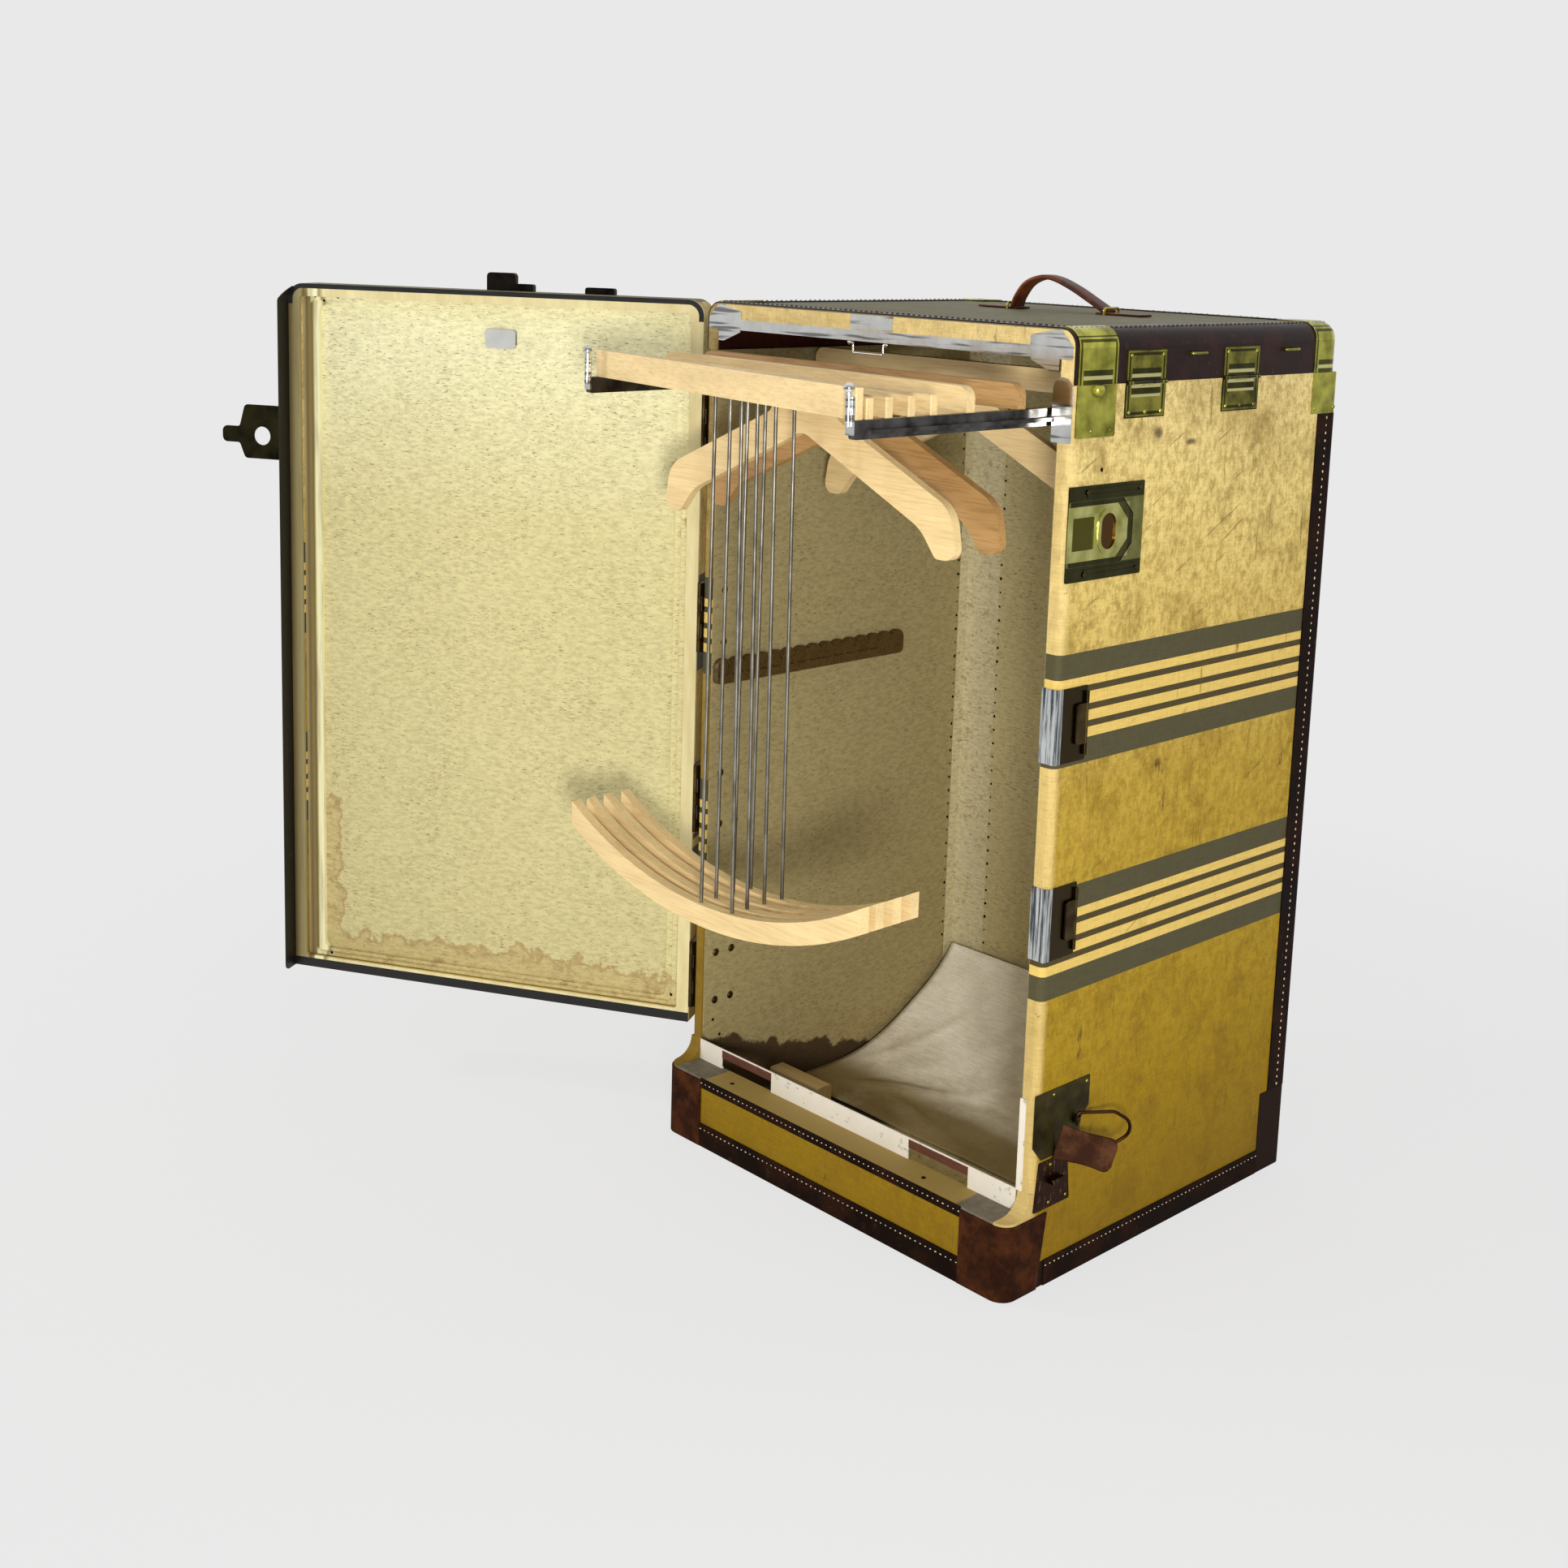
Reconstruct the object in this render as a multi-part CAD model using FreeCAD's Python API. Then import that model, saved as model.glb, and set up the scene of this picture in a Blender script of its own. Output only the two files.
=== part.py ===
import FreeCAD, Part
import math
import os

# Wardrobe trunk standing on its end: a tall case with a lid along its top, a
# full-height door hinged on the left, and a hanger rack that runs out on rails.
# Working axes, in millimetres: X from the outside of the left wall to the right,
# Y from the plane of the opening to the back, Z up from the floor.
# Every piece is moved at the end so that the middle of the underside is the origin.

os.makedirs("parts", exist_ok=True)
Vector = FreeCAD.Vector

# ---- case ----
case_width = 557.0
case_height = 1040.0
case_back = 490.0          # outside of the back, from the opening
base_out = 37.0            # how far the base stands out in front
base_height = 89.0
board = 18.0               # fibre-covered plywood
card = 2.0                 # lining card
front_setback = 1.5        # front edges of the walls, behind the opening
edge_radius = 8.0
base_radius = 17.5
cove_radius = 25.0
plate = 1.2                # sheet metal
leather = 1.5
lid_depth = 57.5           # from the top down to the joint between case and lid
lid_radius = 20.0

# ---- door ----
door_depth = 45.0
door_foot_gap = 41.0       # underside of the door above the base
door_wall = 16.0
door_gap = 0.5             # rim of the shut door, in front of the opening
door_open = 150.0          # degrees, as it stands open
rim_recess = 20.0          # depth of the lined panel behind the rim
side_gap = 1.7             # door's free side beyond the case's side
lip_depth = 25.0           # how far the metal lip laps the case's side
hinge_pin = 1.2
hinge_knuckle = 2.5
pin_play = 0.06
hinge_out = 2.6            # pin's axis outside the left wall
hinge_front = 0.25         # pin's axis in front of the opening
hinge_height = 86.0
hinge_count = 4
hinge_from_foot = 64.0     # middle of the lowest hinge above the door's underside
hinge_from_top = 156.0     # middle of the highest hinge below the door's top

# ---- rack ----
rail_length = 445.0
rail_drop = 24.5           # top of the rails below the lid's joint
rail_height = 18.0
rail_width = 7.6
rail_front = -280.0        # front end of the right rail, pulled out
rail_lag = 76.0            # the left rail trails by this much
rail_to_wall = 17.0        # inner face of a rail from the lined wall
channel_play = 0.1
bar_height = 27.8
seat = 0.2                 # wooden bars above the rails

# ---- places that follow from those sizes ----
inner_left = board + card
inner_right = case_width - inner_left
inner_back = case_back - inner_left
middle = case_width / 2
lid_split = case_height - lid_depth
door_bottom = base_height + door_foot_gap
hinge_low = door_bottom + hinge_from_foot
hinge_step = (case_height - hinge_from_top - hinge_low) / (hinge_count - 1)
hinge_levels = [hinge_low + i * hinge_step for i in range(hinge_count)]
rail_top = lid_split - rail_drop
rail_inner_right = inner_right - rail_to_wall
rail_outer_right = rail_inner_right + rail_width
shift = Vector(-middle, -(case_back - base_out) / 2, 0)


def block(x, y, z):
    """Box between the pairs of X, Y and Z."""
    return Part.makeBox(x[1] - x[0], y[1] - y[0], z[1] - z[0], Vector(x[0], y[0], z[0]))


def placed(axis, level, u, v):
    """Point with plane coordinates u, v at a level along the named axis."""
    if axis == "x":
        return Vector(level, u, v)
    if axis == "y":
        return Vector(u, level, v)
    return Vector(u, v, level)


def slab(axis, low, high, points, radii=0.0):
    """Prism of an outline with rounded corners, extruded along the named axis."""
    count = len(points)
    if not isinstance(radii, (list, tuple)):
        radii = [radii] * count
    corners = []
    for i, (u, v) in enumerate(points):
        here = Vector(u, v, 0)
        before = Vector(points[i - 1][0], points[i - 1][1], 0).sub(here)
        after = Vector(points[(i + 1) % count][0], points[(i + 1) % count][1], 0).sub(here)
        radius = radii[i]
        if radius <= 0:
            corners.append((here, None, here))
            continue
        half = before.getAngle(after) / 2
        reach = radius / math.tan(half)
        before.normalize()
        after.normalize()
        inward = before.add(after)
        inward.normalize()
        centre = here.add(inward.multiply(radius / math.sin(half)))
        start = here.add(before.multiply(reach))
        end = here.add(after.multiply(reach))
        outward = here.sub(centre)
        outward.normalize()
        corners.append((start, centre.add(outward.multiply(radius)), end))
    edges = []
    for i, (start, crown, end) in enumerate(corners):
        first = placed(axis, low, start.x, start.y)
        last = placed(axis, low, end.x, end.y)
        if crown is not None:
            edges.append(Part.Arc(first, placed(axis, low, crown.x, crown.y), last).toShape())
        following = corners[(i + 1) % count][0]
        next_point = placed(axis, low, following.x, following.y)
        if last.distanceToPoint(next_point) > 1e-6:
            edges.append(Part.makeLine(last, next_point))
    face = Part.Face(Part.Wire(edges))
    return face.extrude(placed(axis, high - low, 0, 0))


def rect(u, v):
    """Corner points of a rectangle from its two pairs."""
    return [(u[0], v[0]), (u[1], v[0]), (u[1], v[1]), (u[0], v[1])]


def rod(start, end, radius):
    """Round bar between two points."""
    along = end.sub(start)
    return Part.makeCylinder(radius, along.Length, start, along)


def wire_bar(points, radius, bends):
    """Bent round bar through points; one bend radius for all its corners, or one for each."""
    if not isinstance(bends, (list, tuple)):
        bends = [bends] * (len(points) - 2)
    edges = []
    last = points[0]
    for i in range(1, len(points) - 1):
        bend = bends[i - 1]
        before = points[i - 1].sub(points[i])
        after = points[i + 1].sub(points[i])
        half = before.getAngle(after) / 2
        reach = bend / math.tan(half)
        before.normalize()
        after.normalize()
        start = points[i].add(Vector(before).multiply(reach))
        end = points[i].add(Vector(after).multiply(reach))
        inward = before.add(after)
        inward.normalize()
        crown = points[i].add(inward.multiply(bend / math.sin(half) - bend))
        if last.distanceToPoint(start) > 1e-6:
            edges.append(Part.makeLine(last, start))
        edges.append(Part.Arc(start, crown, end).toShape())
        last = end
    edges.append(Part.makeLine(last, points[-1]))
    path = Part.Wire(edges)
    ring = Part.Wire([Part.makeCircle(radius, points[0], points[1].sub(points[0]))])
    return path.makePipeShell([ring], True, False)


def joined(shapes):
    """One body from touching or overlapping shapes."""
    whole = shapes[0].fuse(shapes[1:])
    return whole.removeSplitter()


def mirrored(shape):
    """Copy on the other side of the trunk's middle plane."""
    return shape.mirror(Vector(middle, 0, 0), Vector(1, 0, 0))


def save(name, solids):
    """Write the separate solids of one piece, moved to the trunk's origin."""
    if not isinstance(solids, (list, tuple)):
        solids = [solids]
    group = Part.Compound([s.copy() for s in solids])
    group.translate(shift)
    group.exportStep("parts/" + name + ".step")


# =====================================================================
# Case
# =====================================================================

wall_front = front_setback
cove_front = wall_front - cove_radius


def side_wall():
    """Left wall with the foot of the base in front and a cove above it."""
    foot = slab("z", 0, base_height,
                [(0, -base_out), (board, -base_out), (board, case_back), (0, case_back)],
                [base_radius, 0, 0, edge_radius])
    upper = slab("z", base_height, lid_split,
                 [(0, wall_front), (board, wall_front), (board, case_back), (0, case_back)],
                 [edge_radius, 0, 0, edge_radius])
    web = block((0, board), (cove_front, wall_front + edge_radius),
                (base_height, base_height + cove_radius))
    cove = rod(Vector(-1, cove_front, base_height + cove_radius),
               Vector(board + 1, cove_front, base_height + cove_radius), cove_radius)
    return joined([foot, upper, web.cut(cove)])


left_side = side_wall()
save("left_side", left_side)
save("right_side", mirrored(left_side))

save("back_panel", block((board, case_width - board), (case_back - board, case_back),
                         (0, lid_split)))
save("floor_board", block((board, case_width - board), (board - base_out, case_back - board),
                          (0, board)))

# The base stands out as a hollow sill: front board, ledge on top, lined board inside.
sill_back = wall_front + card
ledge_board = 12.0
save("base_sill", [
    block((board, case_width - board), (-base_out, board - base_out), (0, base_height)),
    block((board, case_width - board), (board - base_out, sill_back),
          (base_height - ledge_board, base_height)),
    block((board, case_width - board), (sill_back - ledge_board, sill_back),
          (board, base_height - ledge_board)),
])

card_left = block((board, inner_left), (sill_back, inner_back), (inner_left, lid_split))
save("case_lining", [
    card_left,
    mirrored(card_left),
    block((board, case_width - board), (inner_back, inner_back + card), (inner_left, lid_split)),
    block((board, case_width - board), (sill_back, inner_back + card), (board, inner_left)),
])

# Leather strips round the base, and moulded leather caps on its front corners.
strip_height = 30.0
top_strip = 12.5
cap_reach = 64.0           # leather cap along the front
cap_side = 29.0            # leather cap along the side, behind the opening
corner_brass = 53.0        # brass corner along the side, from the back
far_brass_top = 103.0


def base_shell(low, high, thickness):
    """Leather wrapped round the outside of the base between two heights."""
    front_round = base_radius + thickness
    rear_round = edge_radius + thickness
    grown = slab("z", low, high,
                 rect((-thickness, case_width + thickness),
                      (-base_out - thickness, case_back + thickness)),
                 [front_round, front_round, rear_round, rear_round])
    core = slab("z", low, high, rect((0, case_width), (-base_out, case_back)),
                [base_radius, base_radius, edge_radius, edge_radius])
    return grown.cut(core)


far = case_back + 20
between_caps = (cap_reach, case_width - cap_reach)
front_zone = (-base_out - 10, -base_out + 3)
front_strips = [
    base_shell(0, strip_height, leather).common(
        block(between_caps, front_zone, (0, strip_height))),
    base_shell(base_height - top_strip, base_height, leather).common(
        block(between_caps, front_zone, (0, base_height))),
]
side_strip = base_shell(0, strip_height, leather).common(
    block((-10, 3), (cap_side, case_back - corner_brass), (0, strip_height)))
back_strip = base_shell(0, strip_height, leather).common(
    block((corner_brass, case_width - corner_brass), (case_back - 3, far), (0, strip_height)))
save("base_binding", front_strips + [side_strip, mirrored(side_strip), back_strip])

cap_thick = 2.0
cap_top = base_height - 3
cap_slant = 12.0           # the cap's rear edge leans back by this much
cap_zone = slab("x", -10, cap_reach, [
    (-base_out - 10, 0), (cap_side - cap_slant, 0), (cap_side, cap_top),
    (-base_out - 10, cap_top)])
front_cap = base_shell(0, cap_top, cap_thick).common(cap_zone)
save("base_corner_caps", [front_cap, mirrored(front_cap)])

# Leather binding down the rear corners, and brass corners at their ends.
rear_reach = 38.0


def rear_shell(low, high, thickness, reach):
    """Sheet wrapped round the left rear corner of the case."""
    grown = slab("z", low, high,
                 rect((-thickness, 2 * reach), (case_back - 2 * reach, case_back + thickness)),
                 [0, 0, 0, edge_radius + thickness])
    core = slab("z", low, high, rect((0, 2 * reach), (case_back - 2 * reach, case_back)),
                [0, 0, 0, edge_radius])
    angle = block((-10, reach), (case_back - reach, far), (low, high))
    return grown.cut(core).common(angle)


brass = 1.0
far_brass_low = lid_split - 47.5
near_brass_low = lid_split - 53.5
near_brass_y = 6.0
near_brass = (near_brass_y, near_brass_y + 64)
split_gap = 0.3
rear_strip = rear_shell(far_brass_top, far_brass_low, leather, rear_reach)
save("rear_binding", [rear_strip, mirrored(rear_strip)])

foot_corner = rear_shell(0, far_brass_top, brass, corner_brass)
head_corner = rear_shell(far_brass_low, lid_split - split_gap, brass, corner_brass)
near_plate = slab("x", -brass, 0, rect(near_brass, (near_brass_low, lid_split - split_gap)), 2.0)
ball_y = near_brass_y + 33
ball_radius = 8.0
ball = Part.makeSphere(ball_radius, Vector(0, ball_y, lid_split - 5)).common(
    block((-12, -brass), (ball_y - 9, ball_y + 9), (lid_split - 14, lid_split - split_gap)))
ball_plate = mirrored(joined([near_plate, ball]))
save("case_corner_brasses", [foot_corner, mirrored(foot_corner), head_corner,
                             mirrored(head_corner), near_plate, ball_plate])

# Steel rail on the ledge that the foot of the door meets, with two notches below.
rail_plane = (wall_front - plate, wall_front)
tongue_top = base_height + 26
return_top = base_height + 130
window_top = base_height + 14
window_length = 90.0
window_ends = (60.0, case_width - 88)      # left end of one, right end of the other
tongue_left = board + 0.5
tongue = slab("y", rail_plane[0], rail_plane[1],
              rect((tongue_left, inner_right), (base_height, tongue_top)))
for low in (window_ends[0], window_ends[1] - window_length):
    window = block((low, low + window_length), (-5, 5), (base_height - 1, window_top))
    tongue = tongue.cut(window)
tongue_return = slab("y", rail_plane[0], rail_plane[1],
                     rect((inner_right, inner_right + 8),
                          (base_height + cove_radius, return_top)), 1.5)
tongue_foot = block((tongue_left, window_ends[0]), (wall_front, sill_back),
                    (base_height, base_height + plate))
save("tongue_rail", joined([tongue, tongue_return, tongue_foot]))

# Plate on the front edge of the right wall, notched for the rail's tongue.
tongue_low = rail_top - 13
tongue_high = rail_top - 9
screw_radius = 3.2
rim_plate = slab("y", rail_plane[0], rail_plane[1],
                 rect((inner_right - 6, case_width - 1), (lid_split - 58.5, lid_split + 7.5)),
                 [1.5, 1.5, 12.0, 12.0])
rim_screw = Part.makeCylinder(screw_radius, 0.5, Vector(case_width - 13, rail_plane[0] + 0.5,
                                                        lid_split - 6.5), Vector(0, -1, 0))
rail_notch = block((inner_right - 7, inner_right - 3), (rail_plane[0] - 1, rail_plane[1] + 1),
                   (tongue_low - 1, tongue_high + 1))
save("rim_plate", [rim_plate.cut(rim_screw).cut(rail_notch), rim_screw])

# Lock plate with its pressed D, square recess and oval well, and the two latch plates.
outer = case_width
lock_middle = lid_split - 152          # height of the lock's middle
lock_height = 99.0
lock_reach = 127.0
lock_skin = 0.5                        # metal left at the bottom of a recess
lock_bar = 16.0                        # ribbed bars along the plate's head and foot
lock_low = lock_middle - lock_height / 2
lock_high = lock_middle + lock_height / 2
ring_front = 5.0
ring_reach = 101.0
ring_half = 28.5
ring_chamfer = 18.0
ring_gap = 9.0                         # recess behind the D
well_middle = 68.0
well_half = (12.0, 19.0)               # oval well, along the plate and up
well_rim = 5.0
proud = 1.0                            # rims and ribs above the plate
lip_clear = 5.0                        # they start behind the shut door's lip
square_inset = 5.0                     # the square recess, from the D's front
square_length = 35.0
square_half = 17.0
rib_half = 1.6
rib_round = 1.2
rib_inset = 6.0                        # ribs stop short of the plate's end
edge_round = 1.5
lock_round = 2.0
front_gap = 0.3                        # plate stands back from the wall's front


def d_outline(reach, half):
    """Outline of a D with cut corners, about the lock's middle."""
    return [(ring_front, lock_middle - half),
            (reach - ring_chamfer, lock_middle - half),
            (reach, lock_middle - half + ring_chamfer),
            (reach, lock_middle + half - ring_chamfer),
            (reach - ring_chamfer, lock_middle + half),
            (ring_front, lock_middle + half)]


def well(grown, low, high):
    """Oval prism of the well, larger by the given width."""
    return slab("x", low, high,
                rect((well_middle - well_half[0] - grown, well_middle + well_half[0] + grown),
                     (lock_middle - well_half[1] - grown, lock_middle + well_half[1] + grown)),
                well_half[0] + grown - 0.1)


lock_face = slab("x", outer, outer + plate,
                 rect((wall_front + front_gap, lock_reach), (lock_low, lock_high)), lock_round)
lock_ring = slab("x", outer, outer + plate, d_outline(ring_reach, ring_half), edge_round)
lock_hollow = slab("x", outer + lock_skin, outer + plate,
                   d_outline(ring_reach + ring_gap, lock_height / 2 - lock_bar), edge_round)
square_front = ring_front + square_inset
lock_square = block((outer + lock_skin, outer + plate), (square_front, square_front + square_length),
                    (lock_middle - square_half, lock_middle + square_half))
lock_pieces = [lock_face.cut(lock_hollow.cut(lock_ring)).cut(lock_square),
               well(well_rim, outer + lock_skin, outer + plate + proud)]
for rise in (lock_bar / 3, 2 * lock_bar / 3):
    for level in (lock_low + rise, lock_high - rise):
        lock_pieces.append(slab("x", outer + lock_skin, outer + plate + proud,
                                rect((lip_depth + lip_clear, lock_reach - rib_inset),
                                     (level - rib_half, level + rib_half)), rib_round))
lock_plate = joined(lock_pieces).cut(well(0, outer + lock_skin, outer + plate + 2 * proud))

latch_levels = (630.0, 416.0)          # heights of the two latches' middles
latch_height = 80.0
latch_reach = 50.0
lever_axis_y = latch_reach - 3
lever_axis_out = 3.4
lever_knuckle = 2.2
lever_pin = 1.0
post_inset = 6.0                       # lever's posts from the ends of the plate
post_height = 12.0
lever_axis = Vector(outer + lever_axis_out, lever_axis_y, 0)
latch_plates = []
for level in latch_levels:
    low = level - latch_height / 2
    high = level + latch_height / 2
    pieces = [
        slab("y", rail_plane[0], rail_plane[1],
             rect((inner_right, outer + plate), (low, high)), 1.5),
        slab("x", outer, outer + plate, rect((rail_plane[0], latch_reach), (low, high)), 2.0),
    ]
    for bottom in (low + post_inset, high - post_inset - post_height):
        pieces.append(block((outer, outer + lever_axis_out),
                            (lever_axis_y - 2, lever_axis_y + 2), (bottom, bottom + post_height)))
        pieces.append(Part.makeCylinder(lever_knuckle, post_height,
                                        lever_axis.add(Vector(0, 0, bottom))))
    pin_low = low + post_inset + 2
    pieces.append(Part.makeCylinder(lever_pin, latch_height - 2 * post_inset - 4,
                                    lever_axis.add(Vector(0, 0, pin_low))))
    latch_plates.append(joined(pieces))
save("lock_plates", [lock_plate] + latch_plates)

# Lower hasp plate: it carries the leather tab and the wire bail; catch plate below.
foot_plate_low = base_height + 61
foot_plate = slab("x", outer, outer + plate,
                  [(rail_plane[0], foot_plate_low + 17), (15.0, foot_plate_low),
                   (76.0, foot_plate_low), (80.0, foot_plate_low + 30),
                   (93.0, foot_plate_low + 42), (93.0, foot_plate_low + 77),
                   (rail_plane[0], foot_plate_low + 77)],
                  [2.0, 3.0, 6.0, 3.0, 3.0, 2.0, 2.0])
bail_axis_y = 70.0
bail_axis_out = 4.2
bail_wire = 1.9
bail_low = foot_plate_low + 2
bail_height = 38.0
ear_height = 6.0
ear_radius = 4.0
ear_inset = 4.0                        # ears from the bail's arms
bail_x = outer + bail_axis_out
ears = []
for low in (bail_low + ear_inset, bail_low + bail_height - ear_inset - ear_height):
    ear = joined([
        block((outer, bail_x), (bail_axis_y - 3, bail_axis_y + 3), (low, low + ear_height)),
        Part.makeCylinder(ear_radius, ear_height, Vector(bail_x, bail_axis_y, low)),
    ])
    hole = Part.makeCylinder(bail_wire + pin_play, ear_height + 2,
                             Vector(bail_x, bail_axis_y, low - 1))
    ears.append(ear.cut(hole))
catch_low = base_height + 2
catch_high = foot_plate_low - 3
catch_plate = slab("x", outer, outer + plate,
                   [(6.0, catch_low), (67.0, catch_low), (60.0, catch_high), (12.0, catch_high)], 2.0)
hook_low = (catch_low + catch_high) / 2
catch_hook = block((outer + plate, outer + plate + 7), (30.0, 48.0), (hook_low, hook_low + 6))
save("lower_catch", [joined([foot_plate] + ears), joined([catch_plate, catch_hook])])

# Left hinges: a leaf on the case, one on the door, and a fixed pin through both.
pin_x = -hinge_out
pin_y = -hinge_front
knuckle_count = 5
knuckle_gap = 0.3
knuckle_step = hinge_height / knuckle_count


def knuckles(level, first):
    """Every second knuckle of one hinge, counted from the first."""
    bodies = []
    for i in range(first, knuckle_count, 2):
        low = level - hinge_height / 2 + i * knuckle_step + knuckle_gap
        bodies.append(Part.makeCylinder(hinge_knuckle, knuckle_step - 2 * knuckle_gap,
                                        Vector(pin_x, pin_y, low)))
    return bodies


def hinge_leaf(level, first, near, tip):
    """Leaf on the outside with its knuckles; near and tip are its ends along Y."""
    bodies = knuckles(level, first)
    span = (level - hinge_height / 2, level + hinge_height / 2)
    sheet = block((-plate, 0), (min(near, tip), max(near, tip)), span)
    pieces = [sheet]
    for knuckle in bodies:
        low = knuckle.BoundBox.ZMin
        high = knuckle.BoundBox.ZMax
        pieces.append(knuckle)
        pieces.append(block((-plate, 0), (min(near, pin_y), max(near, pin_y)), (low, high)))
    return joined(pieces)


leaf_near = 3.0
leaf_length = 55.0
case_leaves = []
for level in hinge_levels:
    leaf = hinge_leaf(level, 0, leaf_near, leaf_near + leaf_length)
    pin = Part.makeCylinder(hinge_pin, hinge_height,
                            Vector(pin_x, pin_y, level - hinge_height / 2))
    case_leaves.append(joined([leaf, pin]))
save("case_hinge_leaves", case_leaves)

# Inside fittings: the channels that the rack runs in, a wooden rail with arches on
# the left wall, tape up the rear corners, a cloth flap and a batten on the floor.
channel_low = tongue_low - 5
channel_high = tongue_high + 5
channel_y = (4.0, case_back - 40)


def channel():
    """Steel channel on the right wall, open towards the rail."""
    body = block((inner_right - 9, inner_right), channel_y, (channel_low, channel_high))
    slot = block((inner_right - 10, inner_right - 2), (channel_y[0] - 1, channel_y[1] + 1),
                 (tongue_low - channel_play, tongue_high + channel_play))
    return body.cut(slot)


save("rack_channels", [channel(), mirrored(channel())])

arches = 15
arch_width = 22.0
arch_wall = 4.0                        # wood left between two arches
arch_sink = 2.5
plain_arches = 2                       # the rear end has none cut into it
arch_lap = 0.3                         # the arch heads run a little into each other
wall_rail_front = 5.0
wall_rail_low = 574.0
wall_rail_height = 31.0
wall_rail_thick = 9.0
wall_rail_back = wall_rail_front + arches * arch_width
arch_level = wall_rail_low + wall_rail_height - arch_width / 2
wall_rail = slab("x", inner_left, inner_left + wall_rail_thick,
                 rect((wall_rail_front, wall_rail_back), (wall_rail_low, arch_level)),
                 [arch_width / 3, arch_width / 3, 0, 0])
heads = []
sinks = []
for i in range(arches):
    arch_y = wall_rail_front + (i + 0.5) * arch_width
    heads.append(rod(Vector(inner_left, arch_y, arch_level),
                     Vector(inner_left + wall_rail_thick, arch_y, arch_level), arch_width / 2 + arch_lap))
    half = arch_width / 2 - arch_wall / 2
    if i < arches - plain_arches:
        sinks.append(slab("x", inner_left + wall_rail_thick - arch_sink, inner_left + wall_rail_thick + 1,
                          rect((arch_y - half, arch_y + half),
                               (arch_level - half, arch_level + half - 1)), [0, 0, half - 1, half - 1]))
wall_rail = joined([wall_rail] + heads)
for sink in sinks:
    wall_rail = wall_rail.cut(sink)
save("wall_rail", wall_rail)

tape = 0.8
tape_width = 17.0
tape_span = (inner_left, lid_split - 2)
save("corner_tape", joined([
    block((inner_left, inner_left + tape), (inner_back - tape_width, inner_back), tape_span),
    block((inner_left, inner_left + 57), (inner_back - tape, inner_back), tape_span),
]))

flap_thick = 3.0
flap_clear = 0.4
flap_top = inner_left + 120
flap_front = 150.0
flap_fold = inner_back - 140
flap_floor = inner_left + flap_clear
flap_back = inner_back - tape - flap_clear
flap = slab("x", inner_left + 8, inner_right - 8, [
    (flap_front, flap_floor),
    (flap_fold, flap_floor),
    (flap_back, flap_top - 4),
    (flap_back, flap_top),
    (flap_back - 4, flap_top),
    (flap_fold - 6, flap_floor + 5),
    (flap_front, flap_floor + flap_thick),
])
save("floor_flap", flap)
batten_width = 24.0
batten_back = flap_front - 4
save("floor_batten", slab("x", inner_left + 0.3, inner_left + 90,
                          rect((batten_back - batten_width, batten_back),
                               (inner_left, inner_left + batten_width)), 3.0))

# Lower leaves of the lid's hinges, with the pins that both leaves turn on.
lid_pin_out = 2.2
lid_knuckle = 2.1
lid_pin = 1.1
lid_hinge_middles = (119.0, 291.0)
lid_hinge_width = 68.0
lid_hinges = [(y - lid_hinge_width / 2, y + lid_hinge_width / 2) for y in lid_hinge_middles]
lid_knuckles = 3
leaf_clear = 3.0                       # leaves stop short of the joint, apart from the knuckles


def lower_leaf(span):
    """Case's leaf and its pin."""
    step = (span[1] - span[0]) / lid_knuckles
    pieces = [block((outer, outer + plate), span, (lid_split - 36.5, lid_split - leaf_clear))]
    for i in range(0, lid_knuckles, 2):
        start = span[0] + i * step + knuckle_gap
        end = span[0] + (i + 1) * step - knuckle_gap
        pieces.append(rod(Vector(outer + lid_pin_out, start, lid_split),
                          Vector(outer + lid_pin_out, end, lid_split), lid_knuckle))
        pieces.append(block((outer + 0.1, outer + plate), (start, end),
                            (lid_split - leaf_clear, lid_split)))
    pieces.append(rod(Vector(outer + lid_pin_out, span[0], lid_split),
                      Vector(outer + lid_pin_out, span[1], lid_split), lid_pin))
    return joined(pieces)


def upper_leaf(span):
    """Lid's leaf with the middle knuckle bored for the pin."""
    step = (span[1] - span[0]) / lid_knuckles
    start = span[0] + step + knuckle_gap
    end = span[0] + 2 * step - knuckle_gap
    first = Vector(outer + lid_pin_out, start, lid_split)
    last = Vector(outer + lid_pin_out, end, lid_split)
    pieces = [block((outer, outer + plate), span, (lid_split + leaf_clear, lid_split + 34.5)),
              rod(first, last, lid_knuckle),
              block((outer + 0.1, outer + plate), (start, end),
                    (lid_split, lid_split + leaf_clear))]
    bore = rod(first.sub(Vector(0, 1, 0)), last.add(Vector(0, 1, 0)), lid_pin + pin_play)
    return joined(pieces).cut(bore)


save("lid_hinges_lower", [lower_leaf(span) for span in lid_hinges])

# =====================================================================
# Lid
# =====================================================================
lid_front = 1.8
lid_low = lid_split + split_gap
lid_board_low = case_height - 21


def lid_solid(grow, low):
    """Outside of the lid grown by a thickness, its top edges rounded."""
    body = block((-grow, case_width + grow), (lid_front, case_back + grow),
                 (low, case_height + grow))
    radius = lid_radius + grow
    edges = []
    for edge in body.Edges:
        box = edge.BoundBox
        top = box.ZMin > body.BoundBox.ZMax - 1
        side = box.XMax < body.BoundBox.XMin + 1 or box.XMin > body.BoundBox.XMax - 1
        rear = box.YMin > body.BoundBox.YMax - 1
        upright = box.ZLength > 10 and rear
        if (top and (side or rear)) or upright:
            edges.append(edge)
    return body.makeFillet(radius, edges)


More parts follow.
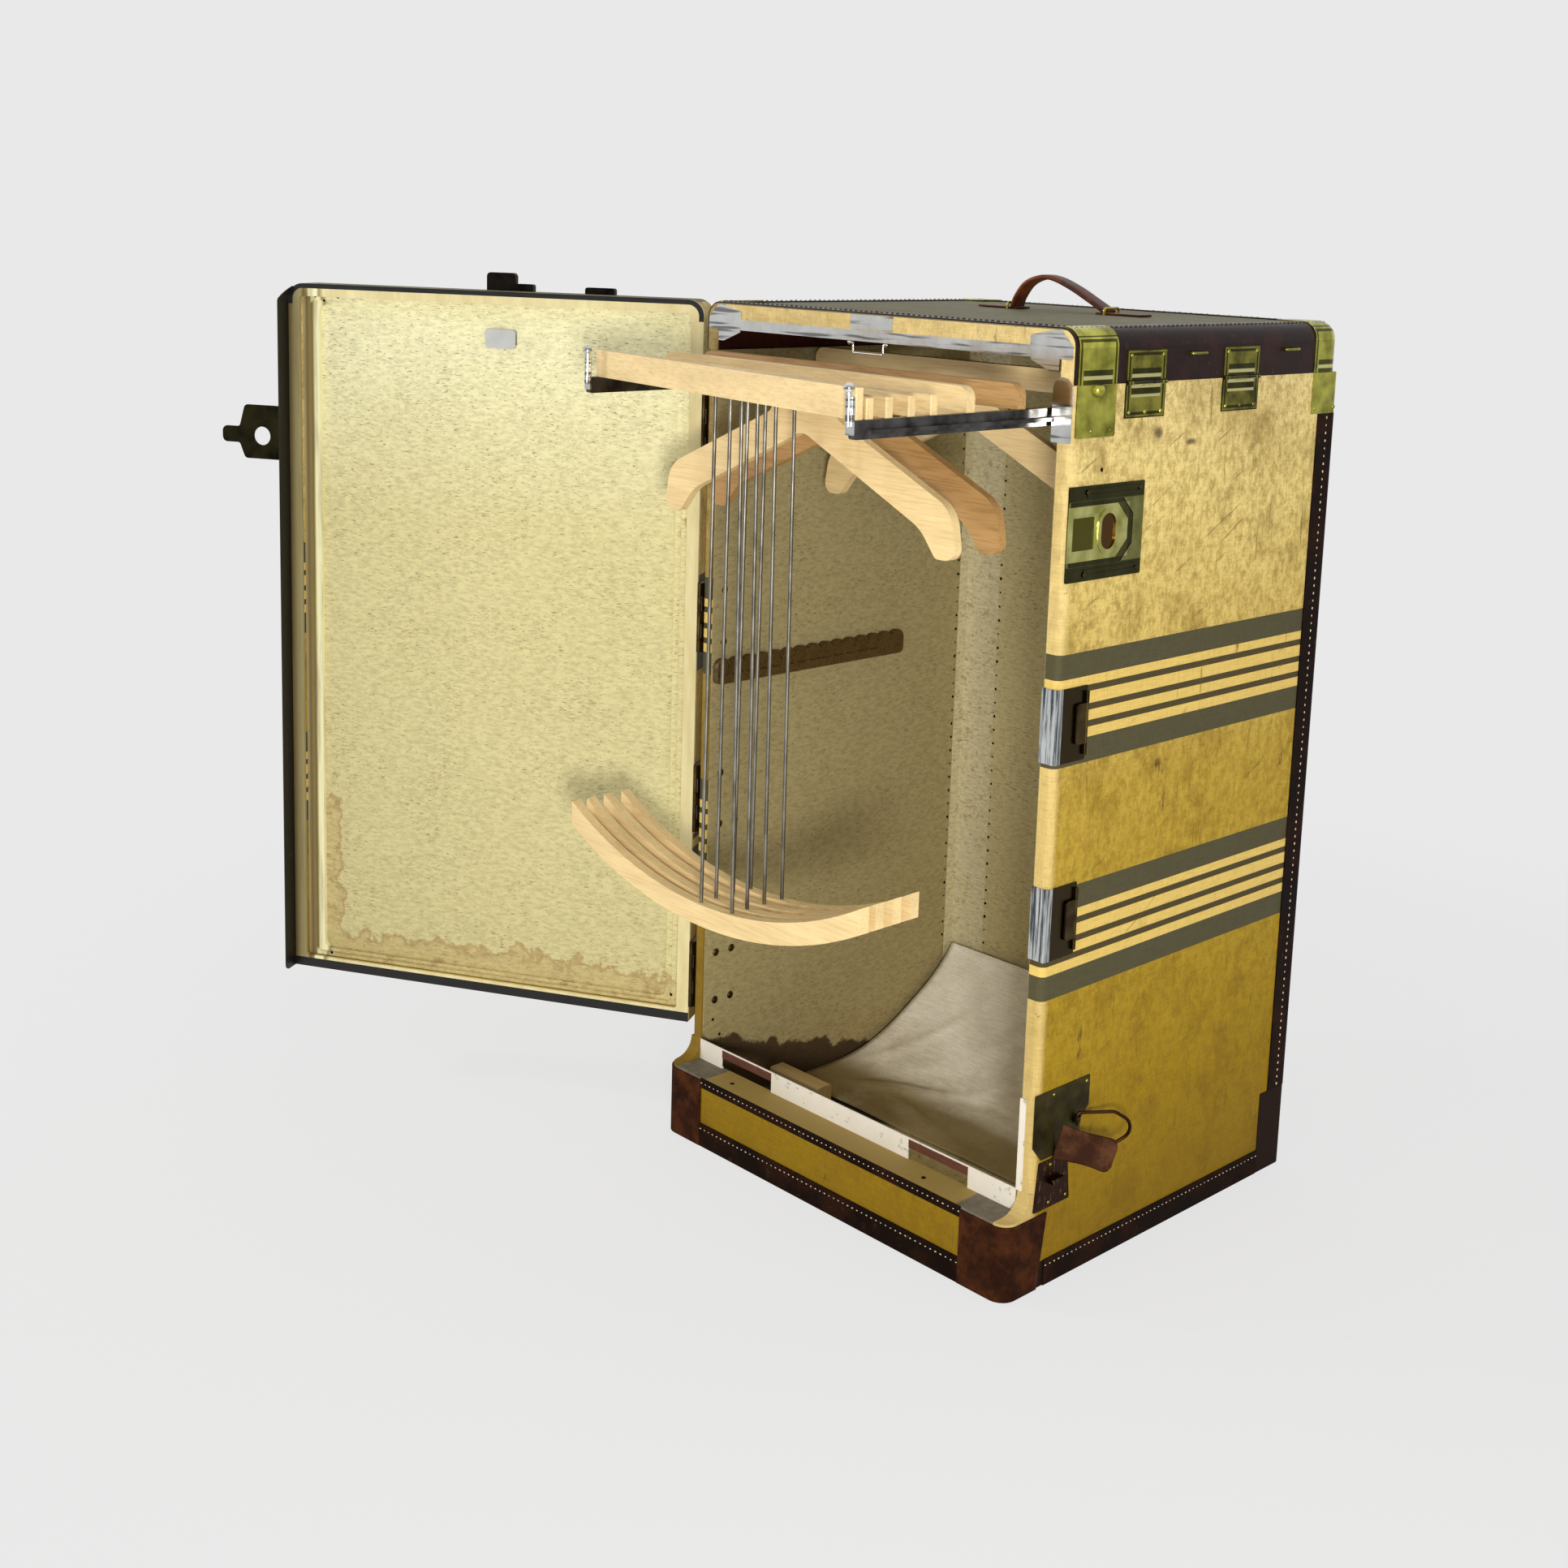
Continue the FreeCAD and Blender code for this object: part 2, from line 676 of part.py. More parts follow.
lid_outer = lid_solid(0.0, lid_low)
lid_core = lid_solid(-leather, lid_low)
lid_cavity = block((board, case_width - board), (0, case_back - board),
                   (lid_low - 1, lid_board_low))
save("lid_shell", lid_core.cut(lid_cavity))

top_border = lid_radius + 8            # leather on the lid's top, in from its sides
top_window = block((top_border, case_width - top_border),
                   (lid_front + 22, case_back - top_border),
                   (lid_board_low, case_height + 5))
save("lid_binding", lid_outer.cut(lid_core).cut(top_window))

lid_skin = lid_solid(brass, lid_low).cut(lid_outer)
brass_span = (lid_low, case_height + 2)
near_corner = lid_skin.common(block((-5, lid_radius), near_brass, brass_span))
far_corner = lid_skin.common(block((-5, corner_brass), (case_back - corner_brass, far), brass_span))
save("lid_corner_brasses", [near_corner, mirrored(near_corner), far_corner, mirrored(far_corner)])

# Front edge of the lid: steel rail with its corner plates, and the catch box.
lid_plane = (lid_front - plate, lid_front)
lid_rail_low = lid_board_low - 11
lid_rail_high = lid_board_low + 1
gusset_low = lid_rail_low - 13.5
lid_rail = slab("y", lid_plane[0], lid_plane[1],
                rect((3.0, case_width - 3), (lid_rail_low, lid_rail_high)), 2.0)
corner_left = slab("y", lid_plane[0], lid_plane[1],
                   [(3.0, lid_rail_low), (59.0, lid_rail_low), (59.0, case_height - 10),
                    (20.0, case_height - 2), (3.0, case_height - 18)],
                   [1.0, 1.0, 3.0, 12.0, 8.0])
gusset = slab("y", lid_plane[0], lid_plane[1],
              [(inner_left, lid_rail_low), (inner_left + 44, lid_rail_low),
               (inner_left + 10, gusset_low), (inner_left, gusset_low)], 1.5)
rail_back = block((board, case_width - board), (lid_front, lid_front + 8),
                  (lid_rail_low, lid_board_low))
lid_rail = joined([lid_rail, corner_left, mirrored(corner_left),
                   gusset, mirrored(gusset), rail_back])
catch_left = middle - 38.5
catch_box = slab("y", lid_plane[0] - 0.2, lid_plane[1],
                 rect((catch_left, catch_left + 64), (lid_rail_high + 1, case_height - 3)), 2.0)

save("lid_hinges_upper", [upper_leaf(span) for span in lid_hinges])

# Carrying handle: a stitched leather arch between two brass loops.
handle_y = 322.0
handle_half = 70.0
handle_rise = 42.0
handle_width = 24.0
handle_thick = 6.0
strap_thick = 3.0
strap_tail = 55.0
top_skin = case_height - leather
arch_radius = (handle_half ** 2 + handle_rise ** 2) / (2 * handle_rise)
arch_centre = case_height + handle_rise - arch_radius
arch = rod(Vector(middle, handle_y - handle_width / 2, arch_centre),
           Vector(middle, handle_y + handle_width / 2, arch_centre), arch_radius)
arch = arch.cut(rod(Vector(middle, handle_y - handle_width, arch_centre),
                    Vector(middle, handle_y + handle_width, arch_centre), arch_radius - handle_thick))
arch = arch.common(block((middle - 100, middle + 100), (handle_y - 20, handle_y + 20),
                         (top_skin, case_height + handle_rise + 1)))
tails = []
for side in (-1, 1):
    inner_end = middle + side * (handle_half - 12)
    outer_end = middle + side * (handle_half + strap_tail)
    tails.append(slab("z", top_skin, top_skin + strap_thick,
                      rect((min(inner_end, outer_end), max(inner_end, outer_end)),
                           (handle_y - 11, handle_y + 11)), 5.0))
save("handle_strap", joined([arch] + tails))

loop_wire = 1.6
loop_clear = 0.3
loops = []
for side in (-1, 1):
    x = middle + side * (handle_half + 4)
    half = handle_width / 2 + loop_wire + loop_clear
    top = top_skin + strap_thick + 3 + loop_wire + loop_clear
    loops.append(wire_bar([Vector(x, handle_y - half, top_skin), Vector(x, handle_y - half, top),
                           Vector(x, handle_y + half, top), Vector(x, handle_y + half, top_skin)],
                          loop_wire, 3.0))
strap_loops = []
strap_loop_z = lid_split + 28.5
for y in (207.0, 385.0):
    strap_loops.append(wire_bar([Vector(outer, y - 13, strap_loop_z),
                                 Vector(outer + 5, y - 13, strap_loop_z),
                                 Vector(outer + 5, y + 13, strap_loop_z),
                                 Vector(outer, y + 13, strap_loop_z)], 1.5, 2.5))
save("lid_loops", loops + strap_loops + [mirrored(loop) for loop in strap_loops])

# Striker: a steel bail that hangs from the lid's rail.
striker_y = lid_front + 3.0
striker_wire = 1.4
striker_top = lid_rail_low - 2
striker_low = gusset_low
striker_left = catch_left
striker_right = striker_left + 49
eye_thick = 4.0
eye_radius = 3.0
arm_left = striker_left + striker_wire
arm_right = striker_right - striker_wire
striker = wire_bar([Vector(striker_left - 6, striker_y, striker_top),
                    Vector(arm_left, striker_y, striker_top),
                    Vector(arm_left, striker_y, striker_low),
                    Vector(arm_right, striker_y, striker_low),
                    Vector(arm_right, striker_y, striker_top),
                    Vector(striker_right + 6, striker_y, striker_top)], striker_wire, 2.2)
save("striker", striker)
eyes = []
for near in (striker_left - 1 - eye_thick, striker_right + 1):
    ring = rod(Vector(near, striker_y, striker_top),
               Vector(near + eye_thick, striker_y, striker_top), eye_radius)
    shank = block((near, near + eye_thick), (striker_y - 1.5, striker_y + 1.5),
                  (striker_top, lid_board_low))
    bore = rod(Vector(near - 1, striker_y, striker_top),
               Vector(near + eye_thick + 1, striker_y, striker_top), striker_wire + pin_play)
    eyes.append(joined([ring, shank]).cut(bore).cut(rail_back))
save("lid_rail", [lid_rail, catch_box] + eyes)

# =====================================================================
# Door, drawn shut and then turned open about its hinge pins
# =====================================================================
door_front = -door_gap - door_depth
door_rim = -door_gap
door_right = case_width + side_gap
band = 1.2


def opened(shape):
    """Turn a piece of the shut door to where the door stands open."""
    turned = shape.copy()
    turned.rotate(Vector(pin_x, pin_y, 0), Vector(0, 0, 1), -door_open)
    return turned


def save_open(name, solids):
    """Write pieces of the door as it stands open."""
    if not isinstance(solids, (list, tuple)):
        solids = [solids]
    save(name, [opened(s) for s in solids])


door_panel = 12.0
door_round = lid_radius                # top corners follow the lid's
panel_low = door_bottom + door_wall
panel_high = case_height - door_wall
band_bottom = 12.0                     # height of the metal edge along the bottom and top
band_top = 6.0


def door_outline(grow=0.0):
    """Outside of the door seen from the front, its top corners rounded."""
    radius = door_round + grow
    return (rect((-grow, door_right + grow), (door_bottom, case_height + grow)),
            [0, 0, radius, radius])


def door_slab(low, high, grow=0.0):
    """Prism of the door's outline between two depths."""
    points, radii = door_outline(grow)
    return slab("y", low, high, points, radii)


tray = door_slab(door_front, door_rim)
tray = tray.makeFillet(6.0, [e for e in tray.Edges
                             if e.BoundBox.YMax < door_front + 1
                             and e.BoundBox.ZMax > door_bottom + 1])
frame_outer = rect((door_wall, door_right - door_wall), (panel_low, panel_high))
tray = tray.cut(slab("y", door_front + door_panel, 1, frame_outer, 4.0))
edge_inside = slab("y", door_rim - band - 1, 1,
                   rect((band_top, door_right - band_top),
                        (door_bottom - 1, case_height - band_top)),
                   [0, 0, door_round - band_top, door_round - band_top])
edge_arch = door_slab(door_rim - band, door_rim).cut(edge_inside)
edge_arch = edge_arch.common(block((-1, door_right + 1), (door_front, 1),
                                   (case_height - door_round - band_top, case_height + 1)))
edge_foot = block((0, door_right), (door_rim - band, door_rim),
                  (door_bottom, door_bottom + band_bottom))
save_open("door_shell", tray.cut(edge_arch).cut(edge_foot))

# Lined boards inside the door: a flat panel and a stepped frame round it.
step = 20.0
panel_back = door_rim - rim_recess
frame_inner = rect((door_wall + step, door_right - door_wall - step),
                   (panel_low + 8, panel_high - 10))
frame_mid = rect((door_wall + step / 2, door_right - door_wall - step / 2),
                 (panel_low + 4, panel_high - 5))
lining_thick = 3.0
frame_back = panel_back - 10
frame = slab("y", frame_back, door_rim - 8, frame_outer, 4.0)
frame = frame.cut(slab("y", door_rim - 14, door_rim, frame_mid, 6.0))
frame = frame.cut(slab("y", frame_back - 1, door_rim, frame_inner, 10.0))
save_open("door_frame", frame)
save_open("door_lining", slab("y", panel_back - lining_thick, panel_back, frame_inner, 10.0))
backing = slab("y", door_front + door_panel, panel_back - lining_thick, frame_outer, 4.0)
save_open("door_backing", backing.cut(slab("y", frame_back, door_rim, frame_outer, 4.0)))

# Black metal edge round the door; its lip laps the case's side and follows the
# free top corner, where it runs out to nothing.
lip_front = door_front + 6
lip_end = case_height - door_round
lip_profile = slab("x", door_right - 0.3 * door_round, door_right + band,
                   [(lip_front, door_bottom), (lip_depth, door_bottom), (lip_depth, lip_end),
                    (door_rim, case_height - 3), (lip_front, case_height - 3)],
                   [0, 8.0, 6.0, 0, 0])
lip = door_slab(door_front, lip_depth + 1, band).cut(door_slab(door_front - 1, lip_depth + 2))
save_open("door_edge", [edge_foot, edge_arch, lip.common(lip_profile)])

door_leaves = []
for level in hinge_levels:
    leaf = hinge_leaf(level, 1, -leaf_near, -leaf_near - 30)
    bore = Part.makeCylinder(hinge_pin + pin_play, hinge_height + 2,
                             Vector(pin_x, pin_y, level - hinge_height / 2 - 1))
    door_leaves.append(leaf.cut(bore))
save_open("door_hinge_leaves", door_leaves)

# Keepers along the door's edges that the lid and the side latches engage.
keepers = []
for left, right, rise, corner in ((middle - 19, middle + 20, 22.0, 5.0),
                                  (middle - 43, middle - 19, 9.0, 3.0),
                                  (middle - 151, middle - 112, 8.0, 3.0)):
    keepers.append(slab("y", door_front + 4, door_front + 12,
                        rect((left, right), (case_height, case_height + rise)),
                        [0, 0, corner, corner]))
side_keeper = 35.0
keeper_raise = 15.0                    # side keepers above the middles of their latches
keeper_face = door_right + band
for level in latch_levels:
    keeper_low = level + keeper_raise - side_keeper / 2
    keepers.append(slab("z", keeper_low, keeper_low + side_keeper,
                        rect((keeper_face, keeper_face + 9), (-18.0, -6.0)), [0, 4.0, 4.0, 0]))
wire_low = foot_plate_low + 42
wire_y = -12.0
wire_out = keeper_face + 9
keepers.append(wire_bar([Vector(keeper_face, wire_y, wire_low), Vector(wire_out, wire_y, wire_low),
                         Vector(wire_out, wire_y, wire_low + 26),
                         Vector(keeper_face, wire_y, wire_low + 26)], 1.8, 3.0))
clip_x = (middle - 28, middle + 12)
clip_low = panel_high - 55
clip = slab("y", panel_back, panel_back + 8, rect(clip_x, (clip_low, clip_low + 24)), 5.0)
clip = clip.cut(block((clip_x[0] - 1, clip_x[1] + 1), (panel_back + 1.5, panel_back + 6.5),
                      (clip_low + 5, clip_low + 25)))

# Hasp on the door's free edge: it folds round onto the lock plate.
hasp_pin_x = keeper_face + 4.0
hasp_pin_y = -8.5
hasp_knuckle = 2.6
hasp_pin = 1.1
hasp_height = 68.0
hasp_low = lock_middle - 18.5
hasp_third = hasp_height / 3
hasp_axis = Vector(hasp_pin_x, hasp_pin_y, hasp_low)
hasp_leaf = [
    block((keeper_face, keeper_face + plate), (-36.0, hasp_pin_y), (hasp_low, hasp_low + hasp_height)),
    Part.makeCylinder(hasp_pin, hasp_height, hasp_axis),
]
for rise in (0.0, 2 * hasp_third):
    hasp_leaf.append(Part.makeCylinder(hasp_knuckle, hasp_third, hasp_axis.add(Vector(0, 0, rise))))
    hasp_leaf.append(block((keeper_face, hasp_pin_x), (hasp_pin_y - 1.5, hasp_pin_y),
                           (hasp_low + rise, hasp_low + rise + hasp_third)))
save_open("door_keepers", keepers + [clip, joined(hasp_leaf)])

hasp_end = hasp_pin_x + 64.5
tongue_end = hasp_end + 33
tongue_foot_z = hasp_low + 19
tongue_head_z = hasp_low + 40
barrel = (hasp_low + hasp_third + knuckle_gap, hasp_low + 2 * hasp_third - knuckle_gap)
hasp_y = (hasp_pin_y - 1.0, hasp_pin_y + 1.0)
hasp_body = slab("y", hasp_y[0], hasp_y[1],
                 [(hasp_pin_x + 4.5, hasp_low - 1), (hasp_end, hasp_low - 1),
                  (hasp_end + 8, tongue_foot_z), (tongue_end, tongue_foot_z),
                  (tongue_end, tongue_head_z), (hasp_end + 8, tongue_head_z),
                  (hasp_end, hasp_low + hasp_height + 1),
                  (hasp_pin_x + 4.5, hasp_low + hasp_height + 1)],
                 [3.0, 6.0, 4.0, 7.0, 7.0, 4.0, 6.0, 3.0])
hasp = joined([
    hasp_body,
    block((hasp_pin_x, hasp_pin_x + 6), hasp_y, barrel),
    Part.makeCylinder(hasp_knuckle, barrel[1] - barrel[0], Vector(hasp_pin_x, hasp_pin_y, barrel[0])),
])
hasp_bore = Part.makeCylinder(hasp_pin + pin_play, hasp_height, hasp_axis)
staple_hole = rod(Vector(hasp_end - 25, hasp_pin_y - 5, hasp_low + 29),
                  Vector(hasp_end - 25, hasp_pin_y + 5, hasp_low + 29), 12.0)
save_open("hasp", hasp.cut(hasp_bore).cut(staple_hole))

# =====================================================================
# Latch levers, bail and leather tab on the right side
# =====================================================================
lever_length = 17.0
lever_half = latch_height / 2 - post_inset - post_height - knuckle_gap
for letter, level in zip("ab", latch_levels):
    low = lever_axis.add(Vector(0, 0, level - lever_half))
    tube = Part.makeCylinder(lever_knuckle - 0.2, 2 * lever_half, low)
    bore = Part.makeCylinder(lever_pin + pin_play, 2 * lever_half + 2, low.sub(Vector(0, 0, 1)))
    thumb_piece = slab("x", lever_axis.x - 1, lever_axis.x + plate,
                       rect((lever_axis_y - lever_length, lever_axis_y),
                            (level - lever_half, level + lever_half)), [4.0, 0, 0, 4.0])
    save("latch_lever_" + letter, joined([tube, thumb_piece]).cut(bore))

bail_reach = 60.0
bail_angle = math.radians(36.0)      # between the bail and the case's side
bail_end_x = bail_x + bail_reach * math.sin(bail_angle)
bail_end_y = bail_axis_y + bail_reach * math.cos(bail_angle)
bail_high = bail_low + bail_height
bail_foot = ear_inset + ear_height + 4           # turned-in ends, through the ears
nose_share = 0.70                                # where the round end begins
nose_drop = 0.30 * bail_height
nose_x = bail_x + nose_share * (bail_end_x - bail_x)
nose_y = bail_axis_y + nose_share * (bail_end_y - bail_axis_y)
foot_bend = 3.8
nose_bend = 14.0
save("bail", wire_bar([Vector(bail_x, bail_axis_y, bail_high - bail_foot),
                       Vector(bail_x, bail_axis_y, bail_high),
                       Vector(nose_x, nose_y, bail_high),
                       Vector(bail_end_x, bail_end_y, bail_high - nose_drop),
                       Vector(bail_end_x, bail_end_y, bail_low + nose_drop),
                       Vector(nose_x, nose_y, bail_low),
                       Vector(bail_x, bail_axis_y, bail_low),
                       Vector(bail_x, bail_axis_y, bail_low + bail_foot)],
                      bail_wire, [foot_bend] + [nose_bend] * 4 + [foot_bend]))

tab_thick = 3.0
tab_clear = 0.8
tab_root = (outer + plate + tab_clear + tab_thick / 2, 38.0)
tab_length = 66.0
tab_height = 42.0
tab_turn = 42.0                      # degrees out from the case's side
tab_droop = 15.0
tab = slab("x", -tab_thick / 2, tab_thick / 2,
           rect((0, tab_length), (-tab_height / 2, tab_height / 2)), [2.0, 12.0, 12.0, 2.0])
tab.rotate(Vector(0, 0, 0), Vector(1, 0, 0), -tab_droop)
tab.rotate(Vector(0, 0, 0), Vector(0, 0, 1), -tab_turn)
tab_middle = foot_plate_low + 16
tab.translate(Vector(tab_root[0], tab_root[1], tab_middle))
beside_plate = block((outer - 20, outer + plate + tab_clear), (0, 100),
                     (tab_middle - tab_length, tab_middle + tab_length))
save("leather_tab", tab.cut(beside_plate))

# =====================================================================
# Rack: two rails, the front bar with its brackets, and the hangers on it
# =====================================================================


def skewed_bar(x, mid_y, skew, thick, z, corner=1.5):
    """Bar whose left end lies further back than its right end by the skew."""
    run = x[1] - x[0]
    slope = skew / (inner_right - inner_left)
    left_y = mid_y + slope * run / 2
    right_y = mid_y - slope * run / 2
    half = thick / 2
    return slab("z", z[0], z[1], [(x[0], left_y - half), (x[1], right_y - half),
                                  (x[1], right_y + half), (x[0], left_y + half)], corner)


def rail(front):
    """Right rail with the tongue that runs in its channel."""
    back = rail_front + rail_length
    body = slab("x", rail_inner_right, rail_outer_right,
                rect((front, back), (rail_top - rail_height, rail_top)), 3.0)
    guide = block((rail_outer_right - 1, inner_right - 4), (front + 20, back),
                  (tongue_low, tongue_high))
    return joined([body, guide])


save("rack_rails", [rail(rail_front), mirrored(rail(rail_front + rail_lag))])

bar_low = rail_top + seat
bar_high = bar_low + bar_height
bar_x = (case_width - rail_outer_right + 1.5, rail_outer_right - 1.5)
follower_mid = rail_front + rail_lag / 2 + 12.5
follower_skew = 90.0
save("follower_bar", skewed_bar(bar_x, follower_mid, follower_skew, 10.0, (bar_low, bar_high + 2)))

bracket_thick = 2.0
bracket_post = 3.0
knob_radius = 5.0


def bracket(front):
    """Bracket on the right rail's front end: a foot, a post and a ball."""
    foot = block((rail_inner_right - 2, rail_outer_right), (front - bracket_thick, front),
                 (bar_low - 14, bar_high - 6))
    post_x = rail_inner_right + 2
    post_y = front - bracket_post
    post = rod(Vector(post_x, post_y, bar_low - 6), Vector(post_x, post_y, bar_high), bracket_post)
    knob = Part.makeSphere(knob_radius, Vector(post_x, post_y, bar_high + 2))
    return joined([foot, post, knob])


stop_front = rail_front + 166
stop = slab("x", rail_inner_right - 2.2, rail_inner_right,
            rect((stop_front, stop_front + 21), (rail_top - 10, bar_low - 1)), 3.0)
save("rack_brackets", [bracket(rail_front), mirrored(bracket(rail_front + rail_lag)), stop])

# Coat hangers: a long bar on the rails, a steel strap and a pair of sloping arms.
hanger_middle = middle + 2
arm_thick = 11.0
coat_bar = 12.0                        # thickness of the bars
bar_end_round = 13.0
neck_top = rail_top - 14
shoulder = (inner_right - inner_left) / 2 - 35.0
arm_half = [(0.0, rail_top - 42, 22.0), (shoulder - 48, rail_top - 124, 50.0),
            (shoulder - 26, rail_top - 152, 8.0), (shoulder + 2, rail_top - 152, 13.0),
            (shoulder - 7, rail_top - 100, 36.0), (52.0, rail_top - 25, 14.0),
            (45.0, neck_top, 5.0)]
arm_outline = arm_half + [(-x, z, radius) for x, z, radius in reversed(arm_half[1:])]
coat_rows = ((127.5, 34.0), (195.5, 16.0), (385.0, 6.0))     # behind the follower, skew
for number, (behind, skew) in enumerate(coat_rows, start=1):
    bar_y = follower_mid + behind
    bar = skewed_bar(bar_x, bar_y, skew, coat_bar, (bar_low, bar_high - 2), 0)
    ends = [e for e in bar.Edges if e.BoundBox.ZMin > bar_high - 3
            and e.BoundBox.XLength < coat_bar]
    arms = slab("y", bar_y - arm_thick / 2, bar_y + arm_thick / 2,
                [(hanger_middle + x, z) for x, z, radius in arm_outline],
                [radius for x, z, radius in arm_outline])
    save("hanger_" + str(number), [bar.makeFillet(bar_end_round, ends), arms])
    strap = slab("x", hanger_middle - 12, hanger_middle + 12, [
        (bar_y + arm_thick / 2, neck_top - 18), (bar_y + arm_thick / 2 + 1.5, neck_top - 18),
        (bar_y + arm_thick / 2 + 1.5, neck_top + 4), (bar_y + 1.5, bar_low - 4),
        (bar_y + 1.5, bar_low), (bar_y - 1.5, bar_low), (bar_y - 1.5, neck_top),
        (bar_y + arm_thick / 2, neck_top)])
    save("hanger_strap_" + str(number), strap)

# Trouser hangers: a short bar on the rails, two pairs of wires and a curved slat.
trouser_rows = ((14.0, 90.0), (35.5, 80.0), (60.5, 68.0), (86.5, 58.0))    # behind, skew
trouser_bar = 10.0
wire_middle = middle + 4.5
wire_half = 25.0
wire_radius = 2.0
slat_x = (inner_left + 16, inner_right - 34)
slat_end = rail_top - 488              # level of the slats' upper corners
slat_sag = 62.0
slat_height = 24.0
slat_thick = 12.0
slat_half = (slat_x[1] - slat_x[0]) / 2
slat_mid = (slat_x[0] + slat_x[1]) / 2
slat_radius = (slat_half ** 2 + slat_sag ** 2) / (2 * slat_sag)
slat_centre = slat_end + slat_radius - slat_sag
slat_floor = slat_end - slat_sag - slat_height
for number, (behind, skew) in enumerate(trouser_rows, start=1):
    bar_y = follower_mid + behind
    bar = skewed_bar(bar_x, bar_y, skew, trouser_bar, (bar_low, bar_high - 8))
    slat_y = (bar_y - slat_thick / 2, bar_y + slat_thick / 2)
    slat_axis = [Vector(slat_mid, y, slat_centre) for y in slat_y]
    slat = rod(slat_axis[0], slat_axis[1], slat_radius + slat_height)
    slat = slat.cut(rod(slat_axis[0], slat_axis[1], slat_radius))
    slat = slat.common(block(slat_x, slat_y, (slat_floor - 5, slat_end)))
    save("trouser_hanger_" + str(number), [bar, slat])
    slope = skew / (inner_right - inner_left)
    wires = []
    for x in (wire_middle - wire_half, wire_middle + wire_half):
        top_y = bar_y + slope * ((bar_x[0] + bar_x[1]) / 2 - x)
        bottom_z = slat_centre - math.sqrt(slat_radius ** 2 - (x - slat_mid) ** 2)
        wires.append(rod(Vector(x, bar_y, bottom_z), Vector(x, top_y, bar_low), wire_radius))
    save("trouser_wires_" + str(number), wires)
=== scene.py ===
import math

import bpy
import bmesh
from mathutils import Matrix, Vector


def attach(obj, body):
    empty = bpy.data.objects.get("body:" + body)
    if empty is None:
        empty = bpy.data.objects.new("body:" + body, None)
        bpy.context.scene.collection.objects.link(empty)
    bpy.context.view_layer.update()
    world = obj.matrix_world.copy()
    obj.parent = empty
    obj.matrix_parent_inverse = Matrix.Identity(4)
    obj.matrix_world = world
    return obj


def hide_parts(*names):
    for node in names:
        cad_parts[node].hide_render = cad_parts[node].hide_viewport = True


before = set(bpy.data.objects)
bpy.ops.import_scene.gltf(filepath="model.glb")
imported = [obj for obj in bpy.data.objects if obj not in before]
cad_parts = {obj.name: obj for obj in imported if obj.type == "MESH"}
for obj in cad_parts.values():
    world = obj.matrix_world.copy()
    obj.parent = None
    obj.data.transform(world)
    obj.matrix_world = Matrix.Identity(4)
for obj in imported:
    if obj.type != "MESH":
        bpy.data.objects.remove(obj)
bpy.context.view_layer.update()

# =====================================================================
# Camera, floor and studio light
# A pale studio floor, seen a little from above and from the front right. The
# main lamp stands behind the camera, almost level, and a weak one at the left.
# =====================================================================
image_width = 1932
focal_pixels = 2478.1
camera_place = Vector((1.5403, -1.8199, 1.1391))
look = Vector((-0.7137, 0.6796, -0.1697))
camera_right = Vector((0.6856, 0.7274, 0.0298))
camera_up = camera_right.cross(look).normalized()
axis_row = 696                      # image row that the lens axis meets


def put(name, data):
    """New object in the scene that holds the data."""
    made = bpy.data.objects.new(name, data)
    bpy.context.collection.objects.link(made)
    return made


camera_data = bpy.data.cameras.new("camera")
camera_data.sensor_width = 36.0
camera_data.lens = focal_pixels / image_width * camera_data.sensor_width
camera_data.shift_y = (axis_row - image_width / 2) / image_width
camera = put("camera", camera_data)
turn = Matrix((camera_right, camera_up, -look)).transposed().to_4x4()
camera.matrix_world = Matrix.Translation(camera_place) @ turn
bpy.context.scene.camera = camera
bpy.context.scene.view_settings.view_transform = "Standard"


def linear(code):
    """Linear colour of a web colour such as D8BE78; one that is linear already stays."""
    if not isinstance(code, str):
        return code
    parts = [int(code[i:i + 2], 16) / 255 for i in (0, 2, 4)]
    return tuple(c / 12.92 if c < 0.04045 else ((c + 0.055) / 1.055) ** 2.4 for c in parts)


